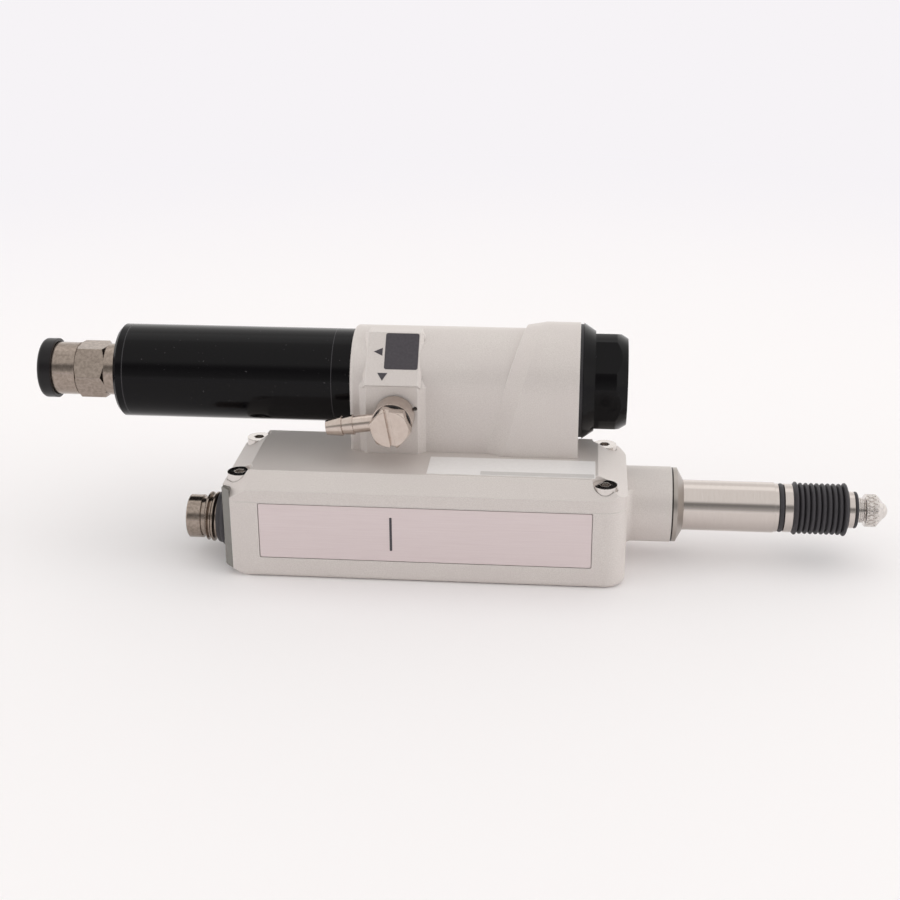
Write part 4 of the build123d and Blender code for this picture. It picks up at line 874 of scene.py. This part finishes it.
over_seat = add(boot_rule, "ShaderNodeMath", {0: fold.outputs[0], 1: seat_share}, operation="LESS_THAN")
seat_wall = add(boot_rule, "ShaderNodeMath", {0: over_seat.outputs[0], 1: given["Seat"]}, operation="MULTIPLY")
wall = add(boot_rule, "ShaderNodeMath", {0: ridge_wall.outputs[0], 1: seat_wall.outputs[0]}, operation="MAXIMUM")
radius = add(boot_rule, "ShaderNodeMix", {0: is_skin, 2: given["Bore"], 3: wall.outputs[0]})
wrap_round(boot_rule, mesh, x, radius.outputs[0], angle, given["Material"])
boot = made_by(
    boot_rule, "bellows_folds", rubber,
    {"Start": boot_low.x, "End": boot_high.x, "Bore": 2.9, "Bead Inset": 0.53, "Bead": 4.2, "Fold": 4.05,
     "Root": 3.25, "Seat": 3.85, "Steps": 9.0},
)
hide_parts("bellows")
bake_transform(boot)


# Filter tube, its cap and the bonnet: aluminium, turned, then anodised glossy black and screwed together.
# The black is deep, with faint turning lines, a few pale motes, and two thin grey ring lines, where the cap
# meets the tube and where its spigot ends. Lines and motes are drawn coarser than life.

cap_joint, spigot_end = -89.3 * mm, -55.7 * mm
cap_joint_width, spigot_end_width = 0.07 * mm, 0.06 * mm
ring_line_share, ring_line_depth = 0.7, -4.0
mote_start, mote_full = 0.83, 0.86
anodised, tree, shader = new_material("black_anodised_aluminium")
tool = grain(tree, 0.08, stretch=finely_round)
black_tone = add(
    tree, "ShaderNodeMix", {0: tool.outputs[0], 6: linear("#070608"), 7: linear("#0D0C0E")}, data_type="RGBA"
)
motes = grain(tree, 0.35, detail=0.0)
mote = add(
    tree, "ShaderNodeMapRange",
    {"Value": motes.outputs[0], "From Min": mote_start, "From Max": mote_full, "To Min": 0.0, "To Max": 1.0},
)
specked = add(
    tree, "ShaderNodeMix", {0: mote.outputs[0], 6: black_tone.outputs[2], 7: linear("#3A383A")}, data_type="RGBA"
)
here = add(tree, "ShaderNodeSeparateXYZ", {0: add(tree, "ShaderNodeTexCoord").outputs["Object"]})
cap_line = add(tree, "ShaderNodeMath", {0: here.outputs["X"], 1: cap_joint, 2: cap_joint_width}, operation="COMPARE")
ring_line = add(tree, "ShaderNodeMath", {0: here.outputs["X"], 1: spigot_end, 2: spigot_end_width}, operation="COMPARE")
both_lines = add(tree, "ShaderNodeMath", {0: cap_line.outputs[0], 1: ring_line.outputs[0]}, operation="MAXIMUM")
line_share = add(tree, "ShaderNodeMath", {0: both_lines.outputs[0], 1: ring_line_share}, operation="MULTIPLY")
lined = add(
    tree, "ShaderNodeMix", {0: line_share.outputs[0], 6: specked.outputs[2], 7: linear("#4A484B")}, data_type="RGBA"
)
tree.links.new(lined.outputs[2], shader.inputs["Base Color"])
relief = add(
    tree, "ShaderNodeMath", {0: ring_line.outputs[0], 1: ring_line_depth, 2: tool.outputs[0]}, operation="MULTIPLY_ADD"
)
tube_edge = add(tree, "ShaderNodeBevel", {"Radius": 0.18 * mm}, samples=edge_samples)
feed = add(
    tree, "ShaderNodeBump",
    {"Strength": 0.05, "Distance": 0.01 * mm, "Height": relief.outputs[0], "Normal": tube_edge.outputs[0]},
)
tree.links.new(feed.outputs[0], shader.inputs["Normal"])
set_inputs(shader, Roughness=0.14, IOR=1.5, Specular_IOR_Level=0.16)
dress(anodised, "filter_tube", "tube_cap", "bonnet")


# Release ring, connector insulator, sensor chip and the banjo's flat seals: black acetal and like plastics,
# moulded and pressed or clipped in. They are deep black, with a soft shine and rounded edges.

black_plastic, tree, shader = mottled("black_acetal", 0.5, "#0F0D0F", "#191618", detail=3.0)
set_inputs(shader, Roughness=0.34, Specular_IOR_Level=0.3)
plastic_edge = add(tree, "ShaderNodeBevel", {"Radius": 0.15 * mm}, samples=edge_samples)
tree.links.new(plastic_edge.outputs[0], shader.inputs["Normal"])
dress(black_plastic, "release_ring", "connector_insert", "image_sensor", "banjo_gaskets")


# Guide bush, piston, gland, valve and connector pins: free-cutting brass, turned and left bright.
# It is warm yellow, with turning lines drawn coarser than life. Apart from the pins, it shows only inside.

brass, tree, shader = mottled("turned_brass", 0.1, "#C2A268", "#D6B97F", stretch=round_axis)
set_inputs(shader, Metallic=1.0, Roughness=0.25)
dress(brass, "guide_bush", "piston", "cylinder_gland", "valve_seat", "valve_pin", "connector_pins")


# Circuit board: glass-fibre epoxy laminate, screwed into the case. The resist over it is green and half glossy,
# and the woven glass under it mottles it slightly.

board_green, tree, shader = mottled("glass_epoxy_board", 0.4, "#1D5A30", "#2A6B3C")
set_inputs(shader, Roughness=0.35)
dress(board_green, "circuit_board")


# Filter element: polyethylene powder, sintered into a porous sleeve and slid into the filter tube.
# It is chalky white and grainy. The pores are drawn larger than life.

filter_white, tree, shader = mottled("sintered_polyethylene", 0.2, "#D8D6CE", "#F0EFEA", detail=3.0)
set_inputs(shader, Roughness=0.8)
dress(filter_white, "filter_element")


# Scale and light source: the scale is a strip of polished glass, held in the spindle's holder, and the lamp is
# moulded in clear resin, shown as the same glass. Both are clear, with a slight green tint.

clear, tree, shader = mottled("clear_glass", 3.0, "#E4EEEC", "#EEF4F3")
set_inputs(shader, Roughness=0.05, Transmission_Weight=0.9)
dress(clear, "glass_scale", "light_source")
